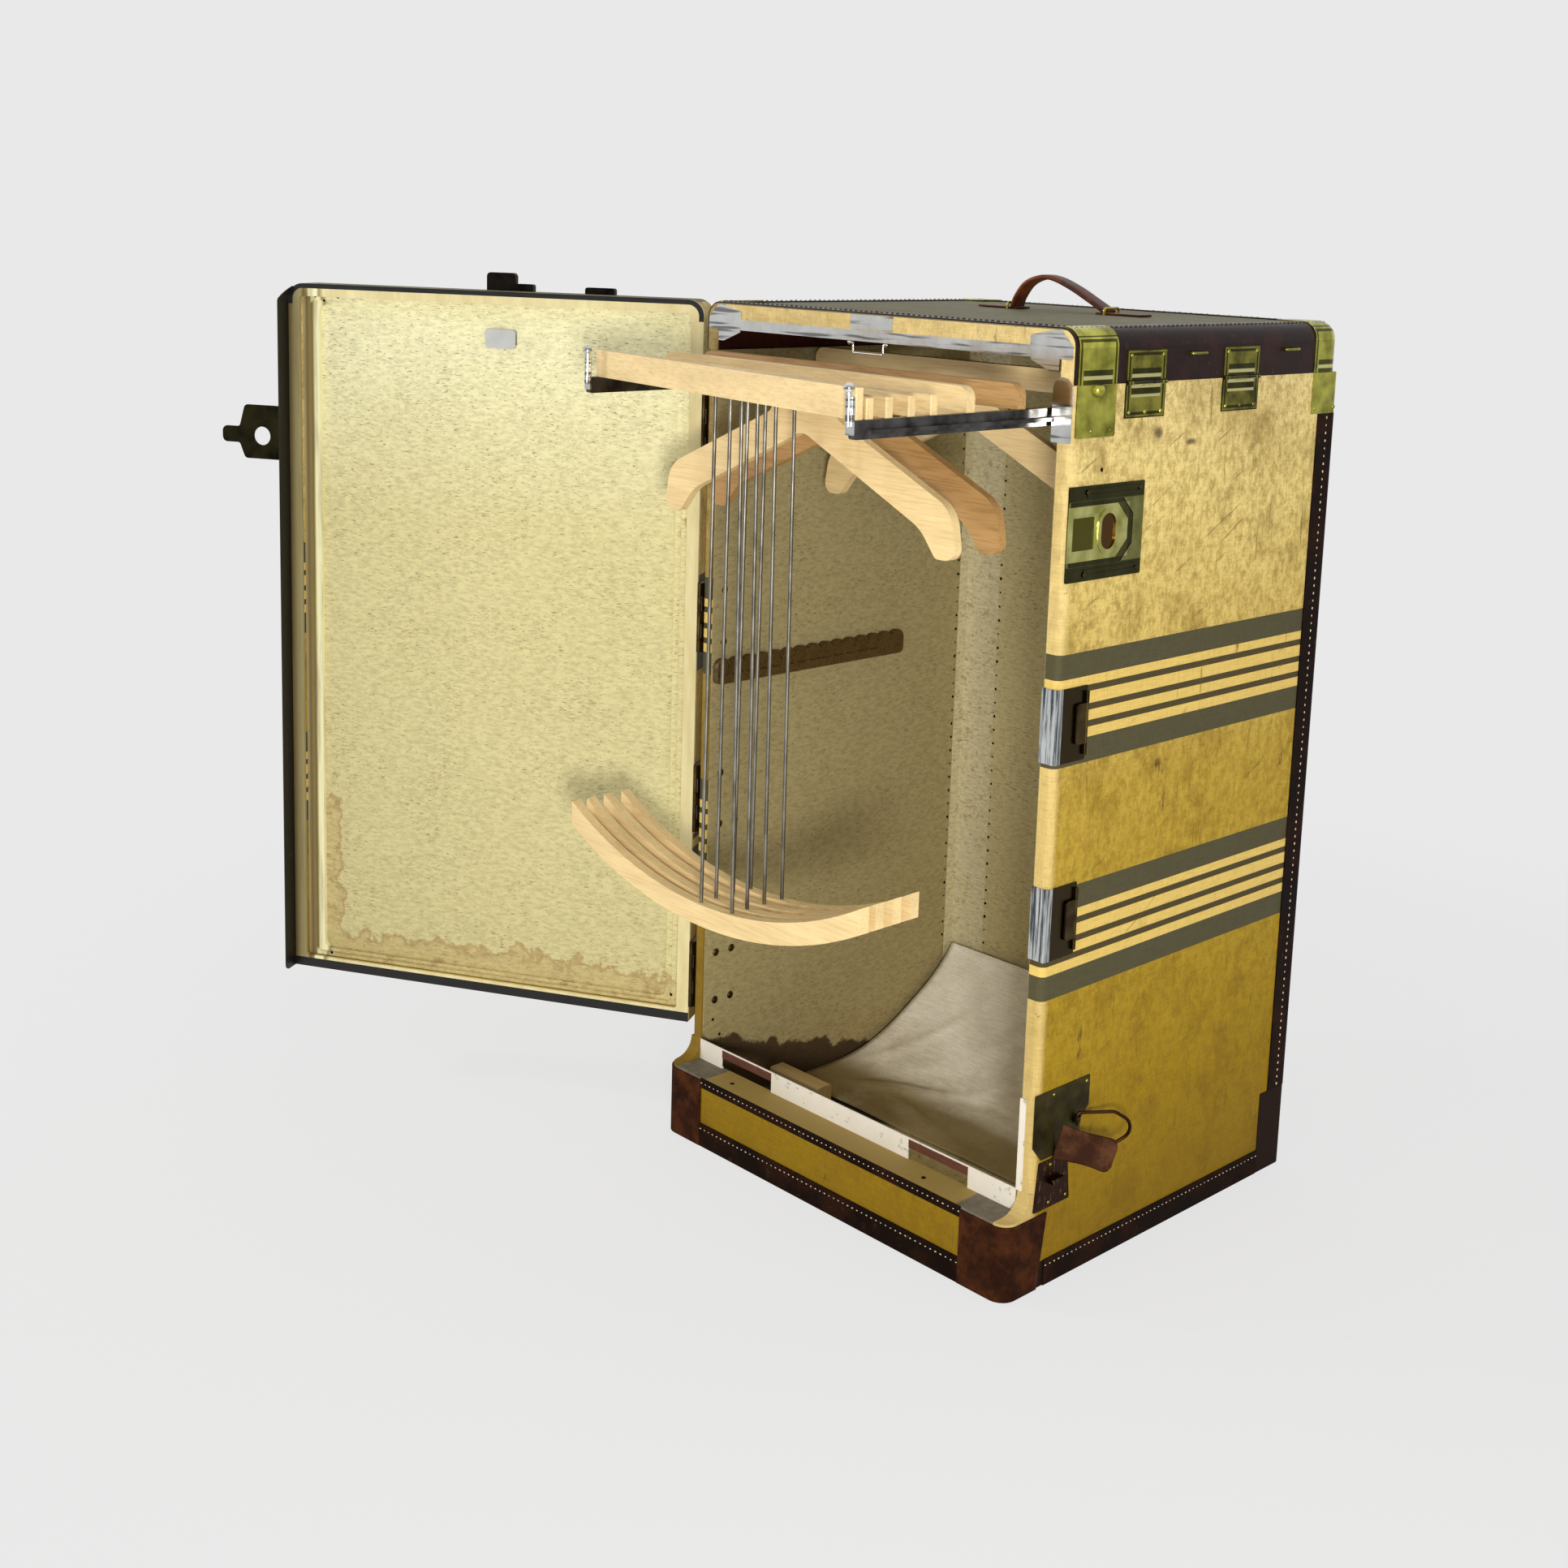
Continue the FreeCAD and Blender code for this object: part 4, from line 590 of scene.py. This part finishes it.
def heads(name, body, fixed_to, finish, rows, size, pitch=20.0, uneven=0.12, seed=1):
    """Rows of heads; each row is (points, outward). Size is length, width, height in mm, as is the pitch."""
    mesh = bpy.data.meshes.new(name + "_rows")
    points, edges, outward = [], [], []
    for row, way in rows:
        first = len(points)
        ways = way if isinstance(way, list) else [way] * len(row)
        points += [tuple(p) for p in row]
        outward += [tuple(w) for w in ways]
        edges += [(first + i, first + i + 1) for i in range(len(row) - 1)]
    mesh.from_pydata(points, edges, [])
    layer = mesh.attributes.new("outward", "FLOAT_VECTOR", "POINT")
    layer.data.foreach_set("vector", [c for w in outward for c in w])
    guide = put(name + "_rows", mesh)
    modifier = guide.modifiers.new("heads", "NODES")
    modifier.node_group = heads_tree
    values = {"Pitch": pitch / 1000, "Length": size[0] / 2000, "Width": size[1] / 2000,
              "Height": size[2] / 1000, "Unevenness": uneven, "Seed": seed,
              "Fixed to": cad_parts[fixed_to], "Finish": finish}
    for item in heads_tree.interface.items_tree:
        if item.in_out == "INPUT" and item.name in values:
            modifier[item.identifier] = values[item.name]
    graph = bpy.context.evaluated_depsgraph_get()
    made = bpy.data.meshes.new_from_object(guide.evaluated_get(graph))
    bpy.data.objects.remove(guide)
    made.name = name
    piece = put(name, made)
    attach(piece, body)


right, left, front, up = (Vector(way) for way in ((1, 0, 0), (-1, 0, 0), (0, -1, 0), (0, 0, 1)))

thread = Finish("waxed_thread", Roughness=0.6)
twist = thread.noise(900, 2.0)
light_thread = thread.paint(thread.mix(twist, "B89E78", "E6D4B4"), None, twist, 0.0002, 0.4)
heads("rear_stitches", "case", "rear_binding", light_thread,
      [([at(558.5, 470, 108), at(558.5, 470, 930)], right), ([at(-1.5, 470, 108), at(-1.5, 470, 930)], left)],
      (3.2, 2.2, 0.6), 9.0, 0.2, 3)
heads("base_stitches", "case", "base_binding", light_thread,
      [([at(66, -38.5, 83), at(491, -38.5, 83)], front), ([at(66, -38.5, 23), at(491, -38.5, 23)], front),
       ([at(558.5, 32, 23), at(558.5, 435, 23)], right), ([at(-1.5, 32, 23), at(-1.5, 435, 23)], left)],
      (2.6, 1.5, 0.4), 7.5, 0.2, 4)
dark = Finish("dark_thread", Roughness=0.5)
dark_twist = dark.noise(900, 2.0)
dark_thread = dark.paint(dark.mix(dark_twist, "1A100C", "4A3A28"), None, dark_twist, 0.0002, 0.4)
heads("lid_stitches", "lid", "lid_binding", dark_thread,
      [([at(18, 14, 1040), at(539, 14, 1040)], up), ([at(543, 18, 1040), at(543, 474, 1040)], up),
       ([at(14, 18, 1040), at(14, 474, 1040)], up), ([at(18, 478, 1040), at(539, 478, 1040)], up)],
      (5.6, 2.6, 1.5), 8.0, 0.15, 5)

# =====================================================================
# Leather caps on the base's front corners
# Thick red-brown leather, wetted and pressed round the corner, then nailed.
# It is the first thing to scrape when the trunk is set down.
# =====================================================================
dress(leather("cap_leather", "240F05", "4A2610", 0.5, 0.0, 0.1), "base_corner_caps")

# =====================================================================
# Brass fittings of the case, the lid and the door
# Pressed and lacquered sheet brass, riveted through the board. It has gone
# green-brown in the hollows and is bright where hands and straps rub it.
# =====================================================================
patina = Effect("tarnish", "Mask", "Fine")
patina.give(Mask=patina.span(patina.noise(42, 3.0, 0.5), 0.22, 0.80),
            Fine=patina.noise((420, 420, 300), 5.0, 0.7, (3, 3, 3)))


def metal(name, bright, dull, low, high, scratched=0.25):
    plate = Finish(name, Metallic=1.0)
    aged = plate.use(patina)
    colour = plate.mix(aged["Mask"], bright, dull)
    rough = plate.plus(plate.times(aged["Mask"], high - low), low)
    rough = plate.plus(rough, plate.times(aged["Fine"], 0.10))
    return plate.paint(colour, rough, aged["Fine"], 0.0003, scratched), plate, colour


brass = metal("aged_brass", "C2BC52", "5A5718", 0.14, 0.30)[0]
dress(brass, "lid_loops")

knuckle_height, knuckle_half = 0.9825, 0.015
bar_pitch = 0.0105


def pressed(name, bright, dull, columns):
    """Brass with a dark sunk line round each plate and raised bars at its knuckle; the bars carry a painted
    highlight and the gaps between them painted shade.
    """
    plate = Finish(name, Metallic=1.0)
    aged = plate.use(patina)
    base = plate.mix(aged["Mask"], bright, dull)
    height = plate.axes[2]
    knuckle = plate.below(plate.off(height, knuckle_height), knuckle_half)
    wave = plate.span(plate.math("SINE", plate.times(height, 2 * math.pi / bar_pitch)), 0.1, 0.5)
    line, bars = 0.0, 0.0
    for middle, half, low, high in columns:
        aside = plate.off(plate.axes[1], deep(middle))
        from_ends = plate.math("MINIMUM", plate.minus(height, low / 1000), plate.minus(high / 1000, height))
        inset = plate.math("MINIMUM", plate.minus(half / 1000, aside), from_ends)
        ring = plate.times(plate.below(plate.off(inset, 0.0048), 0.0015), plate.span(inset, 0.0, 0.001))
        line = plate.larger(line, plate.larger(ring, plate.between(inset, 0.0, 0.0013)))
        within = plate.times(knuckle, plate.below(aside, (half - 9) / 1000))
        line = plate.larger(line, plate.times(within, plate.minus(1.0, wave)))
        bars = plate.larger(bars, plate.times(within, wave))
    # the knuckle's bright bars are a painted highlight, the dark gaps between them painted shade
    colour = plate.tint(base, "1C1A08", line, 0.85)
    colour = plate.tint(colour, "F0EAA8", bars, 0.7)
    rough = plate.plus(plate.times(aged["Mask"], 0.16), 0.15)
    return plate.paint(colour, rough, plate.minus(bars, line), 0.0008, 0.8)


dress(pressed("hinge_brass", "A8A244", "3A380E", ((119, 34, 946, 1017), (291, 34, 946, 1017))),
      "lid_hinges_lower", "lid_hinges_upper")
dress(pressed("corner_brass", "D2CE5C", "6A6A1E", ((38, 33, 929, 1032), (464, 28, 935, 1036))),
      "lid_corner_brasses")
dark_brass = metal("dark_brass", "5A4A28", "2C2010", 0.30, 0.48)[0]
dress(dark_brass, "case_hinge_leaves", "door_hinge_leaves", "latch_lever_a", "latch_lever_b")
dress(metal("blackened_hasp", "34301C", "0E0C08", 0.30, 0.5)[0], "hasp")

# The rear foot corners of the case are capped in leather, not brass.
corner, plate, base = metal("case_corners", "D2CE5C", "6A6A1E", 0.16, 0.34)
low_corner = plate.below(plate.axes[2], 0.5)
plate.set(plate.shader, {"Base Color": plate.mix(low_corner, base, "1E0E06"), "Specular IOR Level": 0.1,
                         "Roughness": plate.plus(plate.times(low_corner, 0.4), 0.24),
                         "Metallic": plate.minus(1.0, low_corner)})
dress(corner, "case_corner_brasses")

# Lock: dark ribbed bars, hollows darkened with painted shade, and a bright D whose pale brass is partly a
# painted highlight; a brown well. The latches' plates below it are steel round the wall's edge, streaked with
# painted reflections, and dark brass beyond.
lock, plate, base = metal("lock_brass", "DCDA8C", "8E8C3C", 0.12, 0.26)
lock_height, lock_line = 0.8305, plate.axes[1]
latches_top = 0.7                   # the latches' plates lie below it, in metres
rise = plate.off(plate.axes[2], lock_height)
bar = plate.span(rise, 0.0325, 0.0345)
outside = plate.larger(plate.above(rise, 0.0287), plate.above(lock_line, deep(103)))
# the plate's recessed faces are darkened with painted shade
hollow = plate.times(plate.below(plate.axes[0], across(557.9)), plate.above(plate.axes[2], latches_top))
colour = plate.tint(base, "3C3A14", outside, 0.6)
colour = plate.tint(colour, "1C1A0A", plate.larger(bar, hollow), 0.85)
well = plate.times(plate.below(rise, 0.0195), plate.below(plate.off(lock_line, deep(68)), 0.0125))
colour = plate.mix(plate.times(hollow, well), colour, "5A3E1A")
square = plate.times(plate.below(lock_line, deep(50)), plate.below(rise, 0.0175))
colour = plate.mix(plate.times(hollow, square), colour, "5E5A20")
latch = plate.below(plate.axes[2], latches_top)
wrapped = plate.times(latch, plate.below(lock_line, deep(9.5)))
colour = plate.mix(latch, colour, "3A3018")
# the wrapped steel's bright and dark streaks are painted reflections
reflection_streak = plate.span(plate.noise((260, 520, 14), 4.0, 0.7), 0.42, 0.62)
colour = plate.mix(wrapped, colour, plate.mix(reflection_streak, "DADEDE", "4E545A"))
plate.set(plate.shader, {"Base Color": colour})
dress(lock, "lock_plates")

# Lower hasp plate in olive bronze, and below it the brown scratched catch.
catch, plate, base = metal("catch_bronze", "4E4620", "2A2410", 0.30, 0.5)
catch_top = 0.1488
below = plate.below(plate.axes[2], catch_top)
scratch = plate.span(plate.noise((90, 300, 60), 4.0, 0.7), 0.58, 0.68)
catch_colour = plate.tint("30180A", "A08058", scratch, 0.7)
plate.set(plate.shader, {"Base Color": plate.mix(below, base, catch_colour)})
dress(catch, "lower_catch")

clear_of_lip = 31                   # the shut door's metal lip laps 25 mm round the case


def single(points, way):
    """One head at each point: rows far shorter than the usual pitch."""
    return [([p, p + Vector(way).orthogonal().normalized() * 0.0001], Vector(way)) for p in points]


def facing_right(x, places):
    """Single heads on a wall that looks right, at places of depth and height."""
    return single([at(x, y, z) for y, z in places], right)


heads("case_rivets", "case", "right_side", brass,
      facing_right(558.4, ((clear_of_lip, 936), (63, 936), (92, 952), (119, 952), (146, 952), (264, 952),
                           (291, 952), (318, 952), (444, 942), (484, 942))), (5.2, 5.2, 2.5))
heads("lock_rivets", "case", "lock_plates", dark_brass,
      facing_right(560, [(y, z) for z in (788, 873) for y in (clear_of_lip, 119)]), (5.2, 5.2, 1.3))
heads("catch_rivets", "case", "lower_catch", brass,
      facing_right(560, ((clear_of_lip, 97), (60, 97), (clear_of_lip, 141), (60, 141), (87, 156), (87, 221),
                         (clear_of_lip, 221))), (4.2, 4.2, 1.1))
heads("lid_rivets", "lid", "lid_hinges_upper", brass,
      facing_right(560, [(y, 1011) for y in (92, 146, 264, 318)]), (4.8, 4.8, 1.2))

# =====================================================================
# Nails and rivets inside
# Small black-headed tacks hold the lining down in rows; domed rivets hold
# the leaves of the door's hinges through the left wall.
# =====================================================================
door_along = Vector((math.cos(door_turn), -math.sin(door_turn), 0))
door_face = Vector((math.sin(door_turn), math.cos(door_turn), 0))


def on_door(s, n, z):
    """Point on the open door: along it from the pins, out of its face, up, in millimetres."""
    return door_pin + door_along * (s / 1000) + door_face * (n / 1000) + Vector((0, 0, z / 1000))


tack = metal("tack_heads", "2A2218", "120E0A", 0.4, 0.6)[0]
heads("corner_tacks", "case", "case_lining", tack,
      [([at(20, 449, 150), at(20, 449, 935)], right), ([at(79, 470, 150), at(79, 470, 935)], front)],
      (3.6, 3.6, 1.1), 19.0, 0.3, 7)
heads("hinge_rivets", "case", "case_lining", dark_brass,
      facing_right(20, [(y, z) for y in (21, 47) for z in (690, 625, 459, 393, 225, 162)]),
      (10.5, 10.5, 2.2), uneven=0.05)
heads("wall_tacks", "case", "case_lining", tack,
      facing_right(20, ((18.9, 136), (30.6, 113.5))), (4.5, 4.5, 1.2))
heads("ledge_tacks", "case", "base_sill", tack,
      single([at(102, -20, 89), at(422, -20, 89)], up), (6, 6, 1.5))
heads("side_tack", "case", "right_side", tack, facing_right(557, ((53.5, 895),)), (5, 5, 1.0))
heads("door_tacks", "door", "door_frame", tack,
      single([on_door(s, 0, z) for s, z in ((515, 1010), (527, 1025), (495, 1034), (512, 155), (35, 160))],
             door_face), (3.8, 3.8, 1.0))

# =====================================================================
# Tongue rail, chromed rims and the door's edge
# The white rail is painted pressed steel with two windows for the door's
# tongues. The lid's rim, the corner plate and the striker are plated.
# =====================================================================
paint = Finish("white_enamel", Specular_IOR_Level=0.5)
chipped = paint.span(paint.noise(85, 5.0, 0.7), 0.60, 0.66)
grime = paint.noise(24, 5.0, 0.6)
enamel = paint.mix(paint.times(grime, 0.5), "EBE4D6", "B8AC94")
enamel = paint.tint(enamel, "6E6454", chipped, 0.6)
window = 0.0
for low, high in ((60, 150), (379, 469)):
    window = paint.larger(window, paint.between(paint.axes[0], across(low), across(high)))
window_top = 0.1132
window = paint.times(window, paint.below(paint.axes[2], window_top))
# inside the two windows the rail is painted dark red-brown
window_dark = paint.mix(paint.noise(140, 4.0, 0.7), "3A1A12", "6A3A28")
enamel = paint.mix(window, enamel, window_dark)
dress(paint.paint(enamel, paint.plus(paint.times(grime, 0.4), 0.2), chipped, 0.0003, 0.3),
      "tongue_rail")
chrome, plate, base = metal("chrome_painted_reflections", "F6F6F4", "CACAC6", 0.05, 0.14, 0.08)
# the dark streaks along the chrome are painted reflections
reflection_streaks = plate.span(plate.noise((14, 14, 210), 1.0, 0.4, (3, 6, 9)), 0.54, 0.66)
plate.set(plate.shader, {"Base Color": plate.tint(base, "303236", reflection_streaks, 0.7)})
dress(chrome, "rim_plate", "lid_rail", "striker", "rack_brackets")
steel = metal("drawn_steel", "8E8A80", "5E5A52", 0.28, 0.40, 0.1)[0]
dress(metal("rack_steel", "6A6866", "2A2826", 0.20, 0.35, 0.1)[0], "rack_rails")
dress(metal("bail_iron", "4A2E1E", "24120A", 0.35, 0.5, 0.2)[0], "bail")
keeper, plate, base = metal("blackened_keepers", "26221E", "0C0A08", 0.35, 0.5)
panel_clip = plate.between(plate.axes[2], 0.96, 1.0)
plate.set(plate.shader, {"Base Color": plate.mix(panel_clip, base, "D4D4D0")})
dress(keeper, "door_keepers")
dress(steel, "rack_channels",
      *("hanger_strap_%d" % i for i in (1, 2, 3)), *("trouser_wires_%d" % i for i in (1, 2, 3, 4)))
black = Finish("black_lacquer", Metallic=0.0, Specular_IOR_Level=0.45)
worn = black.use(patina)
nicks = black.span(black.noise((40, 40, 160), 5.0, 0.7), 0.64, 0.70)
black_colour = black.tint("0D0B0A", "4A4238", nicks, 0.4)
dress(black.paint(black_colour, black.plus(black.times(worn["Mask"], 0.2), 0.28), worn["Fine"], 0.0002, 0.2),
      "door_edge")

# =====================================================================
# Wooden pieces: backing board, rack bar, hangers, batten and wall rail
# Pale birch, planed and left bare, with its grain along each bar; the wall
# rail is the same wood stained dark.
# =====================================================================
fibre = Effect("wood_grain", "Line", "Patch")
fibre.give(Line=fibre.noise((22, 420, 420), 4.0, 0.6),
           Patch=fibre.noise((9, 40, 40), 3.0, 0.5, (8, 1, 4)))


def wood(name, pale, deep, streaks=0.55):
    board = Finish(name, Specular_IOR_Level=0.35)
    grain = board.use(fibre)
    colour = board.mix(board.times(board.span(grain["Line"], 0.42, 0.68), streaks),
                       pale, deep)
    patch = board.ramp(grain["Patch"], [(0.3, (0.86, 0.83, 0.78)), (0.65, (1.05, 1.04, 1.02))])
    rough = board.plus(board.times(grain["Patch"], 0.25), 0.36)
    return board.paint(board.mix(0.9, colour, patch, "MULTIPLY"), rough, grain["Line"], 0.0003, 0.35)


birch = wood("pale_birch", "E8CE98", "CBA468", 0.4)
dress(birch, "door_backing", "follower_bar", "floor_batten", "hanger_1", "hanger_3",
      *("trouser_hanger_%d" % i for i in (1, 2, 3, 4)))
# hanger_2 is the same birch painted darker and more orange: painted shadow of hanger_1
dress(wood("birch_painted_shadow", "B8905A", "8C6634"), "hanger_2")
dress(wood("stained_rail", "5A4420", "2E2110", 0.8), "wall_rail")

# =====================================================================
# Cloth flap in the bottom of the case
# A piece of grey-brown cotton, tacked to the back wall by its rear edge. It
# hangs forward in one slack curve and lies on the floor, with a few folds.
# =====================================================================
flap_path = [(151.5, 22.4), (205, 22.4), (255, 23.2), (300, 31), (345, 49), (385, 72), (420, 95),
             (448, 120), (462, 138)]
flap_sides = (29.0, 528.0)
flap_rows, flap_columns = 56, 60
# middle, direction, reach, width and rise of each fold, in millimetres
folds = (((150, 232), (0.86, 0.5), 62, 11, 11.0), ((208, 196), (0.95, -0.3), 55, 9, 8.0),
         ((330, 265), (0.98, 0.17), 130, 14, 4.5), ((420, 215), (0.9, -0.4), 90, 12, 5.0),
         ((90, 330), (0.5, 0.86), 70, 8, 5.0), ((250, 360), (0.2, 0.98), 80, 16, 5.0),
         ((460, 330), (0.3, 0.95), 90, 12, 4.0))


def eased(points, share):
    """Point on the smooth line through the given ones."""
    place = share * (len(points) - 1)
    i = min(int(place), len(points) - 2)
    t = place - i
    p = [Vector(points[max(0, min(len(points) - 1, i + k))]) for k in (-1, 0, 1, 2)]
    return 0.5 * ((2 * p[1]) + (p[2] - p[0]) * t + (2 * p[0] - 5 * p[1] + 4 * p[2] - p[3]) * t * t
                  + (3 * p[1] - p[0] - 3 * p[2] + p[3]) * t ** 3)


def fold(x, y, middle, way, reach, width, rise):
    """Height of one soft fold at a point of the flap."""
    dx, dy = x - middle[0], y - middle[1]
    run = dx * way[0] + dy * way[1]
    side = -dx * way[1] + dy * way[0]
    return rise * math.exp(-(run / reach) ** 2) * math.exp(-(side / width) ** 2)


flap_mesh = bpy.data.meshes.new("flap_cloth")
flap_points, flap_faces, flap_length = [], [], 0.0
last = None
for i in range(flap_rows + 1):
    y, z = eased(flap_path, i / flap_rows)
    flap_length += 0.0 if last is None else (Vector((y, z)) - last).length
    last = Vector((y, z))
    for j in range(flap_columns + 1):
        x = flap_sides[0] + (flap_sides[1] - flap_sides[0]) * j / flap_columns
        lift = sum(fold(x, y, *one) for one in folds) + 0.9 * (1 + math.sin(x / 31 + y / 47))
        lift *= min(1.0, (462 - y) / 60)
        flap_points.append(at(x, y, z + lift * 0.8))
for i in range(flap_rows):
    for j in range(flap_columns):
        a = i * (flap_columns + 1) + j
        flap_faces.append((a, a + 1, a + flap_columns + 2, a + flap_columns + 1))
flap_mesh.from_pydata(flap_points, [], flap_faces)
for face in flap_mesh.polygons:
    face.use_smooth = True
flap = put("flap_cloth", flap_mesh)
thick = flap.modifiers.new("thickness", "SOLIDIFY")
thick.thickness = 0.0012
thick.offset = 1.0
cotton = Finish("grey_cotton", Specular_IOR_Level=0.2)
cotton_threads = cotton.use(weave)
cotton_marks = cotton.use(soil)
cotton_colour = cotton.mix(cotton.span(cotton_marks["Cloud"], 0.4, 0.7), "FFF8E8", "E2D8C2")
cotton_colour = cotton.tint(cotton_colour, "80704E", cotton_marks["Scuff"], 0.5)
# the front part lying on the floor is painted darker brown in cloudy patches: painted shade in its folds
front_fold_shade = cotton.times(cotton.span(cotton.axes[1], deep(285), deep(215)),
                      cotton.span(cotton_marks["Cloud"], 0.1, 0.42))
cotton_colour = cotton.tint(cotton_colour, "8C7640", front_fold_shade, 0.9)
cotton_shade = cotton.ramp(cotton_threads["Slub"], [(0.3, (0.74, 0.73, 0.70)), (0.7, (1.1, 1.1, 1.08))])
flap_mesh.materials.append(cotton.paint(cotton.mix(0.8, cotton_colour, cotton_shade, "MULTIPLY"), 0.88,
                                        cotton_threads["Height"], 0.0006, 0.5))
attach(flap, "case")
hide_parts("floor_flap")

# =====================================================================
# Carrying handle on the lid
# Two thicknesses of red-brown leather, sewn along both edges and bowed up
# between brass loops, with a flat tail riveted down at each end.
# =====================================================================
handle_middle = (278.5, 322.0)
strap_sides = 12


def strap(built, line, half_width, half_thick):
    """Adds a strap swept along a line in the XZ plane of the case, with rounded edges."""
    rings, faces = [], []
    for i, (x, z) in enumerate(line):
        before, after = line[max(0, i - 1)], line[min(len(line) - 1, i + 1)]
        run = Vector((after[0] - before[0], after[1] - before[1])).normalized()
        across = Vector((-run[1], run[0]))
        ring = []
        for k in range(strap_sides):
            turned = 2 * math.pi * (k + 0.5) / strap_sides
            w = math.copysign(abs(math.cos(turned)) ** 0.35, math.cos(turned)) * half_width
            t = math.copysign(abs(math.sin(turned)) ** 0.7, math.sin(turned)) * half_thick
            ring.append(built.verts.new(at(x + across[0] * t, handle_middle[1] + w, z + across[1] * t)))
        rings.append(ring)
    for a, b in zip(rings, rings[1:]):
        for k in range(strap_sides):
            after = (k + 1) % strap_sides
            faces.append(built.faces.new((a[k], a[after], b[after], b[k])))
    faces += [built.faces.new(rings[0]), built.faces.new(rings[-1])]
    bmesh.ops.recalc_face_normals(built, faces=faces)


# the strap has set with its crown towards one end
bow_line = [(-70, 1041.5), (-66, 1053), (-52, 1070), (-30, 1078.4), (-8, 1077), (20, 1067), (46, 1054.5),
            (63, 1046), (71, 1041.5)]
bow = [eased([(handle_middle[0] + x, z) for x, z in bow_line], k / 44) for k in range(45)]
handle_mesh = bpy.data.meshes.new("handle_leather")
whole = bmesh.new()
strap(whole, bow, 11.6, 2.9)
for side in (-1, 1):
    tail = [(handle_middle[0] + side * x, 1040.2) for x in (58.5, 75, 95, 115, 122, 124.5)]
    strap(whole, tail, 10.6, 1.35)
whole.to_mesh(handle_mesh)
whole.free()
for face in handle_mesh.polygons:
    face.use_smooth = True
handle_mesh.materials.append(leather("handle_hide", "4A1E0A", "84431C", 0.3, 0.15, 0.3))
handle = put("handle_leather", handle_mesh)
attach(handle, "lid")
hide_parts("handle_strap")

# =====================================================================
# Leather tab beside the lower hasp
# A short thick strap end, dried out and wavy, that stands away from the
# case and once held the wire bail down.
# =====================================================================
tab_root = (560.5, 38.0, 166.0)
tab_length, tab_half = 65.0, 20.5
tab_lean = Matrix.Rotation(math.radians(-42), 3, "Z") @ Matrix.Rotation(math.radians(-15), 3, "X")
built = bmesh.new()
grid = []
steps_long, steps_wide = 26, 12
for i in range(steps_long + 1):
    row = []
    u = tab_length * i / steps_long
    pinch = 1.0 - 0.12 * math.sin(math.pi * i / steps_long)
    corner = max(0.0, (u - (tab_length - 10)) / 10)
    narrow = pinch * (1 - 0.45 * (1 - math.sqrt(max(0.0, 1 - corner ** 2))))
    for j in range(steps_wide + 1):
        v = (2 * j / steps_wide - 1) * tab_half * narrow
        wave = 0.75 * math.sin(u / 8.5) + 0.35 * math.sin(v / 6.0 + u / 15)
        spot = tab_lean @ Vector((wave, u, v))
        row.append(built.verts.new(at(max(558.9, tab_root[0] + spot[0]), tab_root[1] + spot[1],
                                      tab_root[2] + spot[2])))
    grid.append(row)
for i in range(steps_long):
    for j in range(steps_wide):
        built.faces.new((grid[i][j], grid[i + 1][j], grid[i + 1][j + 1], grid[i][j + 1]))
for face in built.faces:
    face.smooth = True
tab_mesh = bpy.data.meshes.new("tab_leather")
bmesh.ops.recalc_face_normals(built, faces=built.faces)
built.to_mesh(tab_mesh)
built.free()
tab_mesh.materials.append(leather("tab_hide", "341C10", "5E3C26", 0.5, 0.0, 0.1))
tab = put("tab_leather", tab_mesh)
tab_body = tab.modifiers.new("thickness", "SOLIDIFY")
tab_body.thickness = 0.0026
tab_body.offset = 0.0
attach(tab, "leather_tab")
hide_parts("leather_tab")
